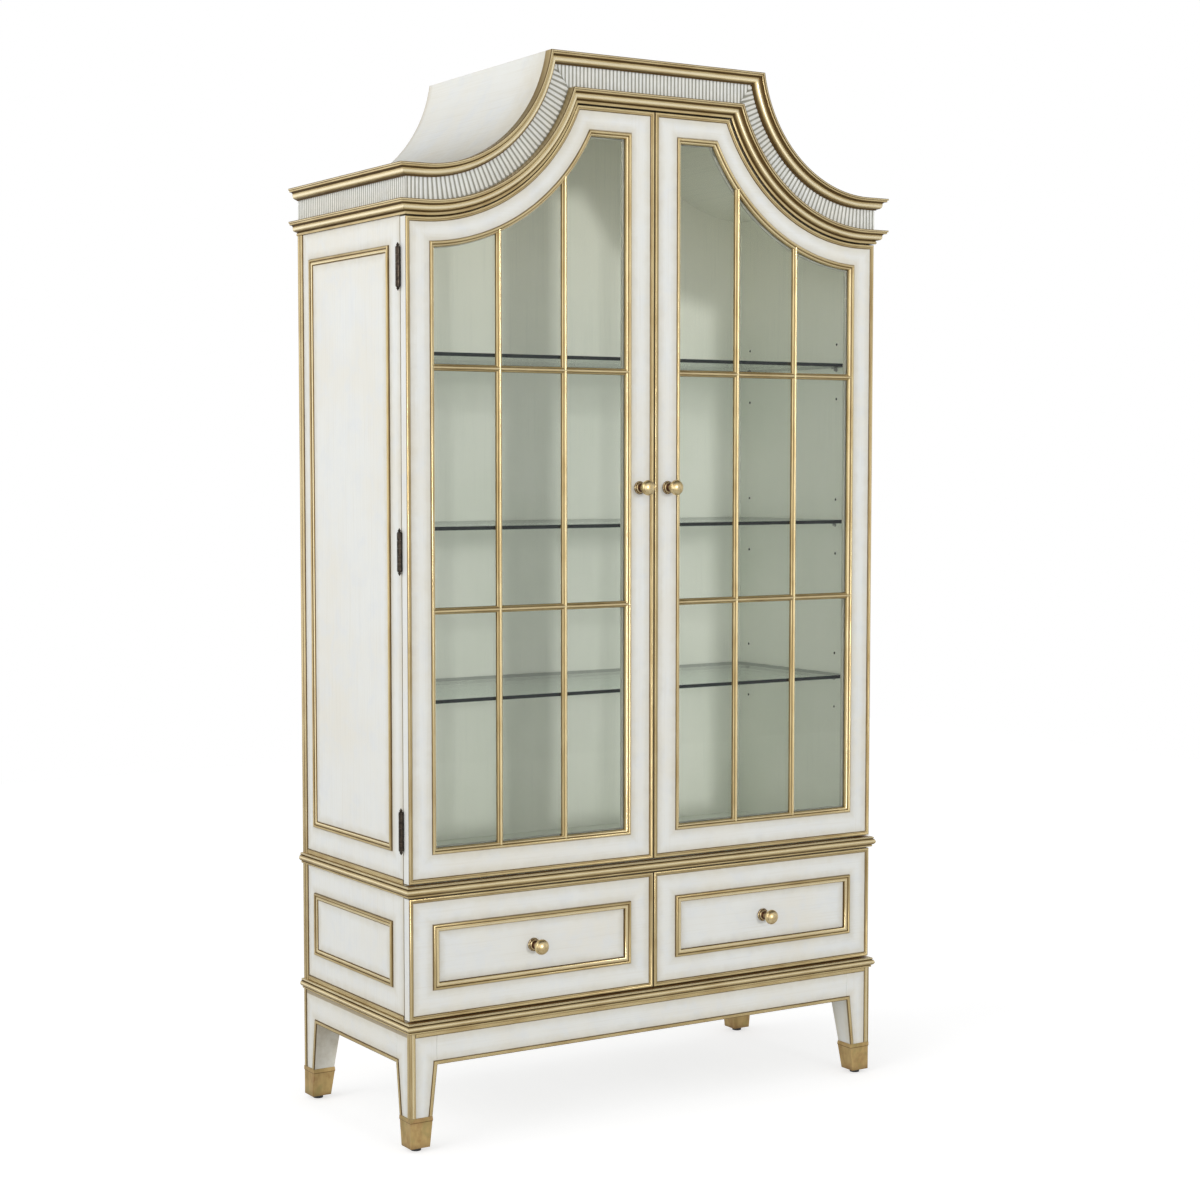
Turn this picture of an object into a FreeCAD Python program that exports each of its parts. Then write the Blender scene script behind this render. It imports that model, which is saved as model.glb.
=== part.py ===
import FreeCAD, Part
import math
import os
import re

import Sketcher
from FreeCAD import Placement, Rotation, Vector

# Curio cabinet: arched display case with two glazed doors over two drawers, on tapered legs.
# Millimetres. X to the right, Y to the back, Z up; the origin is on the floor, in the middle
# of the bounding box (door and drawer knobs included).

doc = FreeCAD.newDocument("CurioCabinet")
sheet = doc.addObject("Spreadsheet::Sheet", "Sizes")

SIZES = [
    ("HalfWidth", 600.0, "half the width of the case"),
    ("FrontPlane", -222.0, "front faces of doors, drawers and frieze"),
    ("CaseFront", -196.0, "front edges of the case boards"),
    ("BackPlane", 274.0, "back of the case"),
    ("DoorThick", 24.0, "doors and drawer fronts, edge bead included"),
    ("BeadProud", 3.0, "edge beads stand out this far"),
    ("Board", 22.0, "thickness of the case boards"),
    ("BackPanelFace", 249.0, "inner face of the back panels"),
    ("BackPanelThick", 9.0, "back panels"),
    ("GlideHigh", 8.0, "glides under the feet"),
    ("ApronBottom", 177.0, "lower edge of the aprons"),
    ("PlinthBottom", 247.0, "underside of the bottom board"),
    ("PlinthTop", 269.0, "top of the bottom board"),
    ("DeckBottom", 528.0, "underside of the deck board"),
    ("DeckTop", 551.0, "top of the deck board"),
    ("HousingDeep", 4.0, "housings in the deck board for the sides and the back"),
    ("DrawerBottom", 273.0, "lower edge of the drawer fronts"),
    ("DrawerTop", 524.5, "upper edge of the drawer fronts"),
    ("DoorBottom", 555.0, "lower edge of the doors"),
    ("ShoulderTop", 2004.0, "top of the cornice at both sides"),
    ("CrownTop", 2254.0, "flat top of the pediment"),
    ("ArcCentreX", 565.0, "centre of the concave curves, from the middle"),
    ("ArcCentreZ", 2300.0, "height of that centre"),
    ("UpperCorniceHigh", 25.0, "upper cornice, measured square to the outline"),
    ("FriezeEnd", 71.0, "outline to the top of the lower cornice"),
    ("LowerCorniceEnd", 99.0, "outline to the underside of the lower cornice"),
    ("DoorClear", 4.0, "lower cornice to the top of the doors"),
    ("CorniceProud", 23.0, "overhang of the cornices"),
    ("RoofThick", 8.0, "roof skins"),
    ("DoorGap", 3.0, "between the two doors and between the two drawers"),
    ("OuterStile", 55.0, "outer edge of a door to its glazing bead"),
    ("MeetingStileX", 59.0, "glazing bead of the meeting stile, from the middle"),
    ("RailBottomZ", 612.0, "glazing bead at the bottom of the doors"),
    ("GlazingArc", 151.0, "outline to the glazing bead, along the curve"),
    ("GlazingTopZ", 2102.0, "glazing bead under the flat top"),
    ("GlazingBead", 12.0, "width of the glazing bead"),
    ("EdgeBead", 9.0, "width of the edge beads"),
    ("GlassFront", -210.0, "front face of the door glass"),
    ("GlassThick", 4.0, "door glass"),
    ("Muntin", 14.0, "width of the glazing bars"),
    ("UpperBarZ", 1602.5, "upper glazing bar"),
    ("LowerBarZ", 1109.0, "lower glazing bar"),
    ("ShelfFront", -172.0, "front edge of the glass shelves"),
    ("ShelfBack", 246.0, "back edge of the glass shelves"),
    ("ShelfThick", 8.0, "glass shelves"),
    ("ShelfLowZ", 915.0, "underside of the bottom shelf"),
    ("ShelfPitch", 356.5, "shelf to shelf"),
    ("PinFrontY", -118.5, "front row of shelf pin holes"),
    ("PinRearY", 212.5, "rear row of shelf pin holes"),
    ("PinHoleRadius", 3.05, "shelf pin holes"),
    ("PinRadius", 3.0, "shelf pins"),
    ("HingeX", 605.5, "hinge pins, from the middle"),
    ("HingeY", -197.0, "hinge pins"),
    ("HingeRadius", 5.0, "hinge barrel"),
    ("HingePinRadius", 2.5, "hinge pin"),
    ("HingeBoreRadius", 2.55, "bore through the knuckles"),
    ("Knuckle", 15.6, "length of a hinge knuckle"),
    ("HingeLowZ", 661.5, "middle of the bottom hinge"),
    ("HingeMidZ", 1230.5, "middle of the middle hinge"),
    ("HingeTopZ", 1802.0, "middle of the top hinge"),
    ("KnobRadius", 16.3, "head of the knobs"),
    ("KnobHalfThick", 10.5, "half the thickness of the knob heads"),
    ("DoorKnobReach", 29.5, "front plane to the middle of a door knob's head"),
    ("DrawerKnobReach", 25.5, "front plane to the middle of a drawer knob's head"),
    ("DoorKnobX", 36.5, "door knobs, from the middle"),
    ("DoorKnobZ", 1357.0, "height of the door knobs"),
    ("DrawerKnobZ", 399.0, "height of the drawer knobs"),
    ("PanelBeadLowZ", 331.5, "applied moulding of the drawers, bottom"),
    ("PanelBeadHighZ", 467.0, "applied moulding of the drawers, top"),
    ("PanelBead", 14.0, "width of the applied mouldings"),
    ("PanelBeadProud", 5.0, "applied mouldings stand out this far"),
    ("PanelSink", 4.0, "drawer panels lie this far behind the drawer fronts"),
    ("LegWide", 62.0, "width of a leg under the apron"),
    ("LegDeep", 60.0, "depth of a leg under the apron"),
    ("FootWide", 43.0, "width of a leg at its foot"),
    ("FootDeep", 38.0, "depth of a leg at its foot"),
    ("CapTop", 62.0, "top of the foot caps, below their band"),
    ("DrawerBoxDeep", 418.0, "depth of the drawer boxes"),
    ("DrawerBoxHigh", 190.0, "height of the drawer boxes"),
    ("DrawerSideThick", 12.0, "drawer sides"),
    ("DrawerSideGap", 4.0, "beside the drawer boxes"),
]
for row, (alias, value, note) in enumerate(SIZES, start=1):
    sheet.set("A%d" % row, note)
    sheet.set("B%d" % row, "%g" % value)
    sheet.setAlias("B%d" % row, alias)
doc.recompute()

S = {alias: float(sheet.get(alias)) for alias, _, _ in SIZES}
parts = []


def bound(text):
    """Expression text in which every size name points at the sheet."""
    names = "|".join(sorted(S, key=len, reverse=True))
    return re.sub(r"\b(%s)\b" % names, r"Sizes.\1", text)


def finish(obj, label):
    """Take obj as the sub-part called label."""
    obj.Label = label
    parts.append(obj)
    return obj


def box(label, x, y, z):
    """Part::Box between two expressions along each axis."""
    obj = doc.addObject("Part::Box", label)
    for side, axis, (low, high) in (("Length", "x", x), ("Width", "y", y), ("Height", "z", z)):
        obj.setExpression(side, bound("( %s ) - ( %s )" % (high, low)))
        obj.setExpression("Placement.Base." + axis, bound(low))
    return obj


def cylinder(label, radius, height, base, axis=Vector(0, 0, 1)):
    """Part::Cylinder with its radius, height and base point bound to the sheet."""
    obj = doc.addObject("Part::Cylinder", label)
    obj.Placement = Placement(Vector(0, 0, 0), Rotation(Vector(0, 0, 1), axis))
    obj.setExpression("Radius", bound(radius))
    obj.setExpression("Height", bound(height))
    for name, text in zip("xyz", base):
        obj.setExpression("Placement.Base." + name, bound(text))
    return obj


def cut(label, base, tool):
    obj = doc.addObject("Part::Cut", label)
    obj.Base = base
    obj.Tool = tool
    return obj


def fuse(label, shapes):
    obj = doc.addObject("Part::MultiFuse", label)
    obj.Shapes = shapes
    return obj


def group(label, links):
    """Several separate solids that make one sub-part."""
    obj = doc.addObject("Part::Compound", label)
    obj.Links = links
    return obj


def mirrored(label, source):
    """The same sub-part on the other side of the cabinet."""
    obj = doc.addObject("Part::Mirroring", label)
    obj.Source = source
    obj.Normal = Vector(1, 0, 0)
    obj.Base = Vector(0, 0, 0)
    return obj


def shaped(label, shape):
    """A mitred or curved strip, for which no primitive or sketch feature fits."""
    obj = doc.addObject("Part::Feature", label)
    obj.Shape = shape
    obj.Placement = Placement(Vector(0, 0, 0), Rotation())
    return obj


def prism(points, direction):
    """Solid swept from a closed polygon along direction."""
    corners = [Vector(*point) for point in points]
    return Part.Face(Part.makePolygon(corners + corners[:1])).extrude(Vector(*direction))


# ---------------------------------------------------------------------------
# Outline of the pediment: side shoulders, a concave curve each side, a flat crown.
# "depth" is measured square to the outline, down into the cabinet.
# ---------------------------------------------------------------------------
ARC_X = S["ArcCentreX"]
ARC_Z = S["ArcCentreZ"]
ARC_R = ARC_Z - S["ShoulderTop"]
CROWN = S["CrownTop"]
FRONT = S["FrontPlane"]
BACK = S["BackPlane"]
HALF = S["HalfWidth"]


def crown_x(depth, crown_depth=None):
    """Where the curve at this depth meets the flat crown line, left of the middle."""
    top = CROWN - (depth if crown_depth is None else crown_depth)
    return -ARC_X + math.sqrt((ARC_R + depth) ** 2 - (ARC_Z - top) ** 2)


def curve_z(x, depth):
    """Height of the left curve, or of the shoulder outside it, at x."""
    run = max(0.0, x + ARC_X)
    return ARC_Z - math.sqrt((ARC_R + depth) ** 2 - run ** 2)


def left_arch(x_out, x_in, z_low, depth, y, crown_depth=None):
    """Closed wire: upright sides at x_out and x_in under the left half of the outline."""
    top = CROWN - (depth if crown_depth is None else crown_depth)
    x_top = crown_x(depth, crown_depth)
    x_start = max(x_out, -ARC_X)
    x_mid = 0.5 * (x_start + x_top)
    start = Vector(x_start, y, curve_z(x_start, depth))
    edges = []
    if x_out < x_start:
        edges.append(Part.makeLine(Vector(x_out, y, start.z), start))
    corner = Vector(x_top, y, top)
    edges.append(Part.Arc(start, Vector(x_mid, y, curve_z(x_mid, depth)), corner).toShape())
    edges.append(Part.makeLine(corner, Vector(x_in, y, top)))
    edges.append(Part.makeLine(Vector(x_in, y, top), Vector(x_in, y, z_low)))
    edges.append(Part.makeLine(Vector(x_in, y, z_low), Vector(x_out, y, z_low)))
    edges.append(Part.makeLine(Vector(x_out, y, z_low), Vector(x_out, y, curve_z(x_out, depth))))
    return Part.Wire(Part.__sortEdges__(edges))


def slab(wire, thick):
    """Board of the wire's outline, from the wire's plane towards the back."""
    return Part.Face(wire).extrude(Vector(0, thick, 0))


def whole(left):
    """The left half and its mirror image as one solid."""
    return left.fuse(left.mirror(Vector(0, 0, 0), Vector(1, 0, 0))).removeSplitter()


def softened(solid, y, radius):
    """Round the long edges that lie in the plane y."""
    edges = [edge for edge in solid.Edges
             if all(abs(vertex.Point.y - y) < 1e-4 for vertex in edge.Vertexes)]
    return solid.makeFillet(radius, edges)


def ring(outer, inner, thick, radius):
    """Flat bead between two wires, rounded on its front."""
    solid = slab(outer, thick).cut(slab(inner, thick))
    return softened(solid, outer.Vertexes[0].Point.y, radius)


def rectangle(x0, x1, z0, z1, y):
    return Part.makePolygon([Vector(x0, y, z0), Vector(x1, y, z0), Vector(x1, y, z1),
                             Vector(x0, y, z1), Vector(x0, y, z0)])


def side_wise(solid):
    """Turn a strip made for the front (facing -Y at y=0) so that it faces -X at x=-HalfWidth."""
    turned = solid.copy()
    turned.rotate(Vector(0, 0, 0), Vector(0, 0, 1), -90)
    turned.translate(Vector(-HALF, 0, 0))
    return turned


# ---------------------------------------------------------------------------
# Cornices: one profile run along shoulder, curve and crown, and returned along the sides.
# Each profile is (depth, overhang) from the outline and from the frieze face.
# ---------------------------------------------------------------------------
OUT = S["CorniceProud"]
FILLETS = [(0.0, 0.0), (0.0, OUT), (3.6, OUT), (4.0, OUT - 2.4), (7.4, OUT - 2.4),
           (8.0, OUT - 7.5), (10.4, OUT - 9.0)]


def ovolo(depth0, out0, depth1, out1, bulge, steps=7):
    """Points of a rounded nose from one point to another."""
    points = []
    for step in range(steps + 1):
        t = step / steps
        lift = bulge * math.sin(math.pi * t)
        run = math.hypot(depth1 - depth0, out1 - out0)
        square = ((out0 - out1) / run, (depth1 - depth0) / run)
        points.append((depth0 + t * (depth1 - depth0) + lift * square[0],
                       out0 + t * (out1 - out0) + lift * square[1]))
    return points


UPPER_PROFILE = FILLETS + ovolo(10.4, 13.0, 23.6, 3.2, 4.2) + [(S["UpperCorniceHigh"], 3.2),
                                                               (S["UpperCorniceHigh"], 0.0)]
LOW0 = S["FriezeEnd"]
LOW1 = S["LowerCorniceEnd"]
LOWER_PROFILE = ([(LOW0 + depth, out) for depth, out in FILLETS]
                 + ovolo(LOW0 + 10.4, 13.0, LOW0 + 22.0, 4.4, 4.2)
                 + [(LOW0 + 23.0, 2.6), (LOW1 - 4.0, 2.6), (LOW1 - 3.4, 4.0),
                    (LOW1 - 0.6, 4.0), (LOW1, 3.2), (LOW1, 0.0)])


def crown_split(depth0, depth1):
    """Region left of the mitre between curve and crown."""
    a = Vector(crown_x(depth0), 0, CROWN - depth0)
    b = Vector(crown_x(depth1), 0, CROWN - depth1)
    along = (a - b).normalize()
    top = a + along * 60.0
    low = b - along * 60.0
    return prism([(top.x, -400, top.z), (low.x, -400, low.z), (low.x, -400, 1500),
                  (-900, -400, 1500), (-900, -400, top.z)], (0, 800, 0))


def corner_split(inner):
    """Region in front of the mitre at the left front corner of the frieze."""
    reach = 60.0
    return prism([(-HALF + inner, FRONT + inner, 100), (-HALF - reach, FRONT - reach, 100),
                  (50, FRONT - reach, 100), (50, FRONT + inner, 100)], (0, 0, 2300))


def run_front(profile, mitre_inner=0.0, groove=None):
    """Front run of a profile; groove(solid, part) may cut each straight or curved length."""
    at_start = [Vector(-ARC_X, FRONT - out, ARC_Z - ARC_R - depth) for depth, out in profile]
    face = Part.Face(Part.makePolygon(at_start + at_start[:1]))
    shoulder = face.extrude(Vector(-(HALF + OUT + 5 - ARC_X), 0, 0)).common(corner_split(mitre_inner))
    curve = face.revolve(Vector(-ARC_X, 0, ARC_Z), Vector(0, -1, 0), 88)
    at_middle = [Vector(0, FRONT - out, CROWN - depth) for depth, out in profile]
    crown = Part.Face(Part.makePolygon(at_middle + at_middle[:1])).extrude(Vector(-ARC_X, 0, 0))
    depths = [depth for depth, _ in profile]
    split = crown_split(min(depths), max(depths))
    if groove:
        shoulder = groove(shoulder, "shoulder")
        curve = groove(curve, "curve")
        crown = groove(crown, "crown")
    left = shoulder.fuse([curve.common(split), crown.cut(split)]).removeSplitter()
    return whole(left)


def run_return(profile, mitre_inner=0.0):
    """Return of a profile along the left side, from the front mitre to the back."""
    points = [Vector(-HALF - out, BACK, ARC_Z - ARC_R - depth) for depth, out in profile]
    face = Part.Face(Part.makePolygon(points + points[:1]))
    return face.extrude(Vector(0, -(BACK - FRONT + OUT + 5), 0)).cut(corner_split(mitre_inner))


for label, profile in (("upper_cornice_front", UPPER_PROFILE), ("lower_cornice_front", LOWER_PROFILE)):
    finish(shaped(label, run_front(profile)), label)

returns = []
for label, profile in (("upper_return", UPPER_PROFILE), ("lower_return", LOWER_PROFILE)):
    left = shaped(label + "_left", run_return(profile))
    returns += [left, mirrored(label + "_right", left)]
finish(group("cornice_returns", returns), "cornice_returns")

# ---------------------------------------------------------------------------
# Frieze: fluted band between the cornices, mitred at the front corners.
# ---------------------------------------------------------------------------
FLUTE_R = 3.3
FLUTE_DEEP = 1.9
FLUTE_PITCH = 9.1
FLUTE_FROM = S["UpperCorniceHigh"] - 6.0
FLUTE_TO = S["FriezeEnd"] + 6.0
FRIEZE_BACK = S["CaseFront"]
BAND = [(S["RoofThick"], 0.0), (LOW1, 0.0), (LOW1, FRONT - FRIEZE_BACK),
        (S["RoofThick"], FRONT - FRIEZE_BACK)]


def flute(x, z, away, up):
    """Cutter for one flute; away points out of the face, up along the flute."""
    centre = Vector(x, FRONT, z) + away * (FLUTE_R - FLUTE_DEEP)
    return Part.makeCylinder(FLUTE_R, FLUTE_TO - FLUTE_FROM, centre, up)


def cut_flutes(solid, part):
    """Flutes square to the outline, on one length of the frieze."""
    forward = Vector(0, -1, 0)
    tools = []
    if part == "shoulder":
        count = int((HALF - ARC_X) / FLUTE_PITCH)
        for n in range(count):
            x = -ARC_X - (n + 0.5) * (HALF - ARC_X) / count
            tools.append(flute(x, ARC_Z - ARC_R - FLUTE_TO, forward, Vector(0, 0, 1)))
    elif part == "crown":
        half_run = -crown_x(FLUTE_FROM)
        count = int(half_run / FLUTE_PITCH)
        for n in range(count):
            x = -(n + 0.5) * half_run / count
            tools.append(flute(x, CROWN - FLUTE_TO, forward, Vector(0, 0, 1)))
    else:
        sweep = math.acos((ARC_Z - CROWN + FLUTE_FROM) / (ARC_R + FLUTE_FROM))
        count = int(sweep * (ARC_R + 0.5 * (FLUTE_FROM + FLUTE_TO)) / FLUTE_PITCH)
        for n in range(count):
            angle = (n + 0.5) * sweep / count
            out = Vector(math.sin(angle), 0, -math.cos(angle))
            start = Vector(-ARC_X, 0, ARC_Z) + out * (ARC_R + FLUTE_FROM)
            tools.append(flute(start.x, start.z, forward, out))
    return solid.cut(tools)


finish(shaped("frieze_front", run_front(BAND, S["Board"] + 4.0, cut_flutes)), "frieze_front")

side_band = [(S["RoofThick"], 0.0), (LOW1 - 14.0, 0.0), (LOW1 - 14.0, -S["Board"]),
             (S["RoofThick"], -S["Board"])]
frieze_side = run_return(side_band, S["Board"] + 4.0)
side_flutes = []
side_count = int((BACK - FRONT) / FLUTE_PITCH)
for n in range(side_count):
    y = BACK - (n + 0.5) * (BACK - FRONT) / side_count
    centre = Vector(-HALF - FLUTE_R + FLUTE_DEEP, y, ARC_Z - ARC_R - FLUTE_TO)
    side_flutes.append(Part.makeCylinder(FLUTE_R, FLUTE_TO - FLUTE_FROM, centre))
frieze_left = shaped("frieze_left", frieze_side.cut(side_flutes))
finish(group("frieze_sides", [frieze_left, mirrored("frieze_right", frieze_left)]), "frieze_sides")

# ---------------------------------------------------------------------------
# Roof skins: flat crown and a bent skin over each curve.
# ---------------------------------------------------------------------------
ROOF = S["RoofThick"]
roof_face = Part.Face(Part.makePolygon([
    Vector(-ARC_X, FRONT, ARC_Z - ARC_R), Vector(-ARC_X, FRONT, ARC_Z - ARC_R - ROOF),
    Vector(-ARC_X, BACK, ARC_Z - ARC_R - ROOF), Vector(-ARC_X, BACK, ARC_Z - ARC_R),
    Vector(-ARC_X, FRONT, ARC_Z - ARC_R)]))
roof_curve = roof_face.revolve(Vector(-ARC_X, 0, ARC_Z), Vector(0, -1, 0), 88)
roof_side = roof_curve.common(crown_split(0.0, ROOF)).fuse(
    roof_face.extrude(Vector(-(HALF - ARC_X), 0, 0))).removeSplitter()
roof_left = finish(shaped("roof_curve_left", roof_side), "roof_curve_left")
finish(mirrored("roof_curve_right", roof_left), "roof_curve_right")
crown_left = prism([(crown_x(0.0), FRONT, CROWN), (0, FRONT, CROWN), (0, FRONT, CROWN - ROOF),
                    (crown_x(ROOF), FRONT, CROWN - ROOF)], (0, BACK - FRONT, 0))
finish(shaped("roof_crown", whole(crown_left)), "roof_crown")

# ---------------------------------------------------------------------------
# Upper case. The sides and the back stand in housings cut into the deck board.
# ---------------------------------------------------------------------------
HOUSING_Z = S["DeckTop"] - S["HousingDeep"]


def side_board(label):
    """Left upper side as a body: padded board with two rows of shelf pin holes."""
    body = doc.addObject("PartDesign::Body", label)
    planes = {plane.Role: plane for plane in body.Origin.OriginFeatures}
    outline = body.newObject("Sketcher::SketchObject", label + "_outline")
    outline.AttachmentSupport = (planes["YZ_Plane"], [""])
    outline.MapMode = "FlatFace"
    corners = [("CaseFront", "DeckTop - HousingDeep"), ("BackPlane", "DeckTop - HousingDeep"),
               ("BackPlane", "ShoulderTop - LowerCorniceEnd + 14"),
               ("CaseFront", "ShoulderTop - LowerCorniceEnd + 14")]
    points = [Vector(S[y], HOUSING_Z if n < 2 else S["ShoulderTop"] - LOW1 + 14, 0)
              for n, (y, _) in enumerate(corners)]
    for n in range(4):
        outline.addGeometry(Part.LineSegment(points[n], points[(n + 1) % 4]), False)
    for n in range(4):
        outline.addConstraint(Sketcher.Constraint("Coincident", n, 2, (n + 1) % 4, 1))
    for n, kind in enumerate(("Horizontal", "Vertical", "Horizontal", "Vertical")):
        outline.addConstraint(Sketcher.Constraint(kind, n))
    for n, (y, z) in ((0, corners[0]), (2, corners[2])):
        for kind, text, value in (("DistanceX", y, points[n].x), ("DistanceY", z, points[n].y)):
            index = outline.addConstraint(Sketcher.Constraint(kind, -1, 1, n, 1, value))
            outline.setExpression("Constraints[%d]" % index, bound(text))
    pad = body.newObject("PartDesign::Pad", label + "_pad")
    pad.Profile = outline
    pad.setExpression("Length", bound("Board"))
    holes = body.newObject("Sketcher::SketchObject", label + "_holes")
    holes.AttachmentSupport = (planes["YZ_Plane"], [""])
    holes.MapMode = "FlatFace"
    levels = []
    for shelf in range(3):
        for step in (-71, -12, 54):
            levels.append((shelf, step))
    for shelf, step in levels:
        for row_y in ("PinFrontY", "PinRearY"):
            z = S["ShelfLowZ"] + shelf * S["ShelfPitch"] + step
            circle = Part.Circle(Vector(S[row_y], z, 0), Vector(0, 0, 1), S["PinHoleRadius"])
            n = holes.addGeometry(circle, False)
            text = "ShelfLowZ + %d * ShelfPitch + %d" % (shelf, step)
            if step == -12:
                text = "ShelfLowZ + %d * ShelfPitch - PinRadius" % shelf
            for kind, expr in (("DistanceX", row_y), ("DistanceY", text)):
                value = S[row_y] if kind == "DistanceX" else z
                index = holes.addConstraint(Sketcher.Constraint(kind, -1, 1, n, 3, value))
                holes.setExpression("Constraints[%d]" % index, bound(expr))
            index = holes.addConstraint(Sketcher.Constraint("Radius", n, S["PinHoleRadius"]))
            holes.setExpression("Constraints[%d]" % index, bound("PinHoleRadius"))
    doc.recompute()
    pocket = body.newObject("PartDesign::Pocket", label + "_pin_holes")
    pocket.Profile = holes
    pocket.Length = 12.0
    pocket.Reversed = True
    doc.recompute()
    body.Placement = Placement(Vector(0, 0, 0), Rotation())
    return body


# The padded board runs from its sketch plane towards +X; the holes are sunk from that plane,
# so the body stands with its inner face on the plane and is turned about for each side.
side_body = side_board("side_body")
side_body.setExpression("Placement.Base.x", bound("HalfWidth - Board"))
leaf_beds = []
for level in ("HingeLowZ", "HingeMidZ", "HingeTopZ"):
    leaf_beds.append(box("leaf_bed", ("HalfWidth - Board - 1", "HalfWidth + 1"),
                         ("CaseFront - 1", "CaseFront + 1.22"),
                         (level + " - 2.5 * Knuckle - 0.3", level + " + 2.5 * Knuckle + 0.3")))
right_side = cut("upper_side_right", side_body, fuse("leaf_beds", leaf_beds))
finish(right_side, "upper_side_right")
finish(mirrored("upper_side_left", right_side), "upper_side_left")

back_wire = left_arch(-HALF + S["Board"], 0.0, HOUSING_Z, ROOF, S["BackPanelFace"])
finish(shaped("upper_back", whole(slab(back_wire, S["BackPanelThick"]))), "upper_back")

HEADER_THICK = 18.0
header_depth = S["GlazingArc"] - 14.0
header_outer = left_arch(-HALF + S["Board"], 0.0, ARC_Z - ARC_R - header_depth - 60.0, ROOF,
                         S["CaseFront"])
header_inner = left_arch(-HALF, 10.0, ARC_Z - ARC_R - header_depth - 90.0, header_depth,
                         S["CaseFront"])
header = slab(header_outer, HEADER_THICK).cut(slab(header_inner, HEADER_THICK))
finish(shaped("header_board", whole(header)), "header_board")

housing_z = ("DeckTop - HousingDeep", "DeckTop + 1")
deck = box("deck", ("-HalfWidth", "HalfWidth"), ("FrontPlane", "BackPlane"), ("DeckBottom", "DeckTop"))
housings = [
    box("housing_left", ("- HalfWidth - 1", "Board - HalfWidth"), ("CaseFront", "BackPlane + 1"), housing_z),
    box("housing_right", ("HalfWidth - Board", "HalfWidth + 1"), ("CaseFront", "BackPlane + 1"), housing_z),
    box("housing_back", ("Board - HalfWidth", "HalfWidth - Board"),
        ("BackPanelFace", "BackPanelFace + BackPanelThick"), housing_z)]
finish(cut("deck_board", deck, fuse("housings", housings)), "deck_board")

for name, level in (("shelf_bottom", 0), ("shelf_middle", 1), ("shelf_top", 2)):
    height = "ShelfLowZ + %d * ShelfPitch" % level
    finish(box(name, ("Board + 2 - HalfWidth", "HalfWidth - Board - 2"), ("ShelfFront", "ShelfBack"),
               (height, height + " + ShelfThick")), name)

pins = []
for side, start in ((-1, "- HalfWidth + Board - 11"), (1, "HalfWidth - Board + 11")):
    for level in range(3):
        for row_y in ("PinFrontY", "PinRearY"):
            height = "ShelfLowZ + %d * ShelfPitch - PinRadius" % level
            pins.append(cylinder("pin", "PinRadius", "21", (start, row_y, height),
                                 Vector(-side, 0, 0)))
finish(group("shelf_pins", pins), "shelf_pins")

# ---------------------------------------------------------------------------
# Lower case
# ---------------------------------------------------------------------------
finish(box("bottom_board", ("-HalfWidth", "HalfWidth"), ("FrontPlane", "BackPlane"),
           ("PlinthBottom", "PlinthTop")), "bottom_board")
lower_left = finish(box("lower_side_left", ("-HalfWidth", "Board - HalfWidth"), ("CaseFront", "BackPlane"),
                        ("PlinthTop", "DeckBottom")), "lower_side_left")
finish(mirrored("lower_side_right", lower_left), "lower_side_right")
finish(box("lower_back", ("Board - HalfWidth", "HalfWidth - Board"),
           ("BackPanelFace", "BackPanelFace + BackPanelThick"), ("PlinthTop", "DeckBottom")), "lower_back")
finish(box("drawer_divider", ("- Board / 2", "Board / 2"), ("CaseFront", "BackPanelFace"),
           ("PlinthTop", "DeckBottom")), "drawer_divider")

runners = []
for low in ("Board - HalfWidth", "- Board / 2 - 18", "Board / 2", "HalfWidth - Board - 18"):
    runners.append(box("runner", (low, low + " + 18"), ("CaseFront + 3", "BackPanelFace"),
                       ("PlinthTop", "DrawerBottom + 7")))
finish(group("drawer_runners", runners), "drawer_runners")


def nosing(height):
    """Profile of the waist and base mouldings, as (drop from the top, overhang)."""
    return ([(0.0, 0.0), (0.0, 6.2), (0.8, 7.4), (2.4, 8.2), (4.0, 7.6), (4.6, 6.4), (5.4, 6.4)]
            + ovolo(5.4, 8.6, height - 5.0, 7.0, 3.6)
            + [(height - 4.4, 4.6), (height - 3.4, 4.6), (height - 2.8, 5.6), (height - 0.6, 5.6),
               (height, 4.8), (height, 0.0)])


def wrap(top, height):
    """Moulding round the front and both sides of a board, mitred at the corners."""
    profile = nosing(height)
    front = [Vector(0, FRONT - out, top - drop) for drop, out in profile]
    run = Part.Face(Part.makePolygon(front + front[:1])).extrude(Vector(-HALF - 30, 0, 0))
    side = [Vector(-HALF - out, BACK, top - drop) for drop, out in profile]
    back_run = Part.Face(Part.makePolygon(side + side[:1])).extrude(Vector(0, -(BACK - FRONT + 30), 0))
    corner = corner_split(0.0)
    return [whole(run.common(corner)), back_run.cut(corner)]


for label, top, bottom in (("waist_moulding", "DeckTop", "DeckBottom"),
                           ("base_moulding", "PlinthTop", "PlinthBottom")):
    front_run, side_run = wrap(S[top], S[top] - S[bottom])
    side_left = shaped(label + "_left", side_run)
    finish(group(label, [shaped(label + "_front", front_run), side_left,
                         mirrored(label + "_right", side_left)]), label)

# ---------------------------------------------------------------------------
# Aprons, legs and feet
# ---------------------------------------------------------------------------
APRON = "22"
inner_x = "HalfWidth - LegWide"
apron_side = box("apron_side_left", ("-HalfWidth", "- HalfWidth + " + APRON),
                 ("FrontPlane + LegDeep", "BackPlane - LegDeep"), ("ApronBottom", "PlinthBottom"))
finish(group("aprons", [
    box("apron_front", ("-( %s )" % inner_x, inner_x), ("FrontPlane", "FrontPlane + " + APRON),
        ("ApronBottom", "PlinthBottom")),
    box("apron_back", ("-( %s )" % inner_x, inner_x), ("BackPlane - " + APRON, "BackPlane"),
        ("ApronBottom", "PlinthBottom")),
    apron_side, mirrored("apron_side_right", apron_side)]), "aprons")

LEG_END = 4.0


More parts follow.
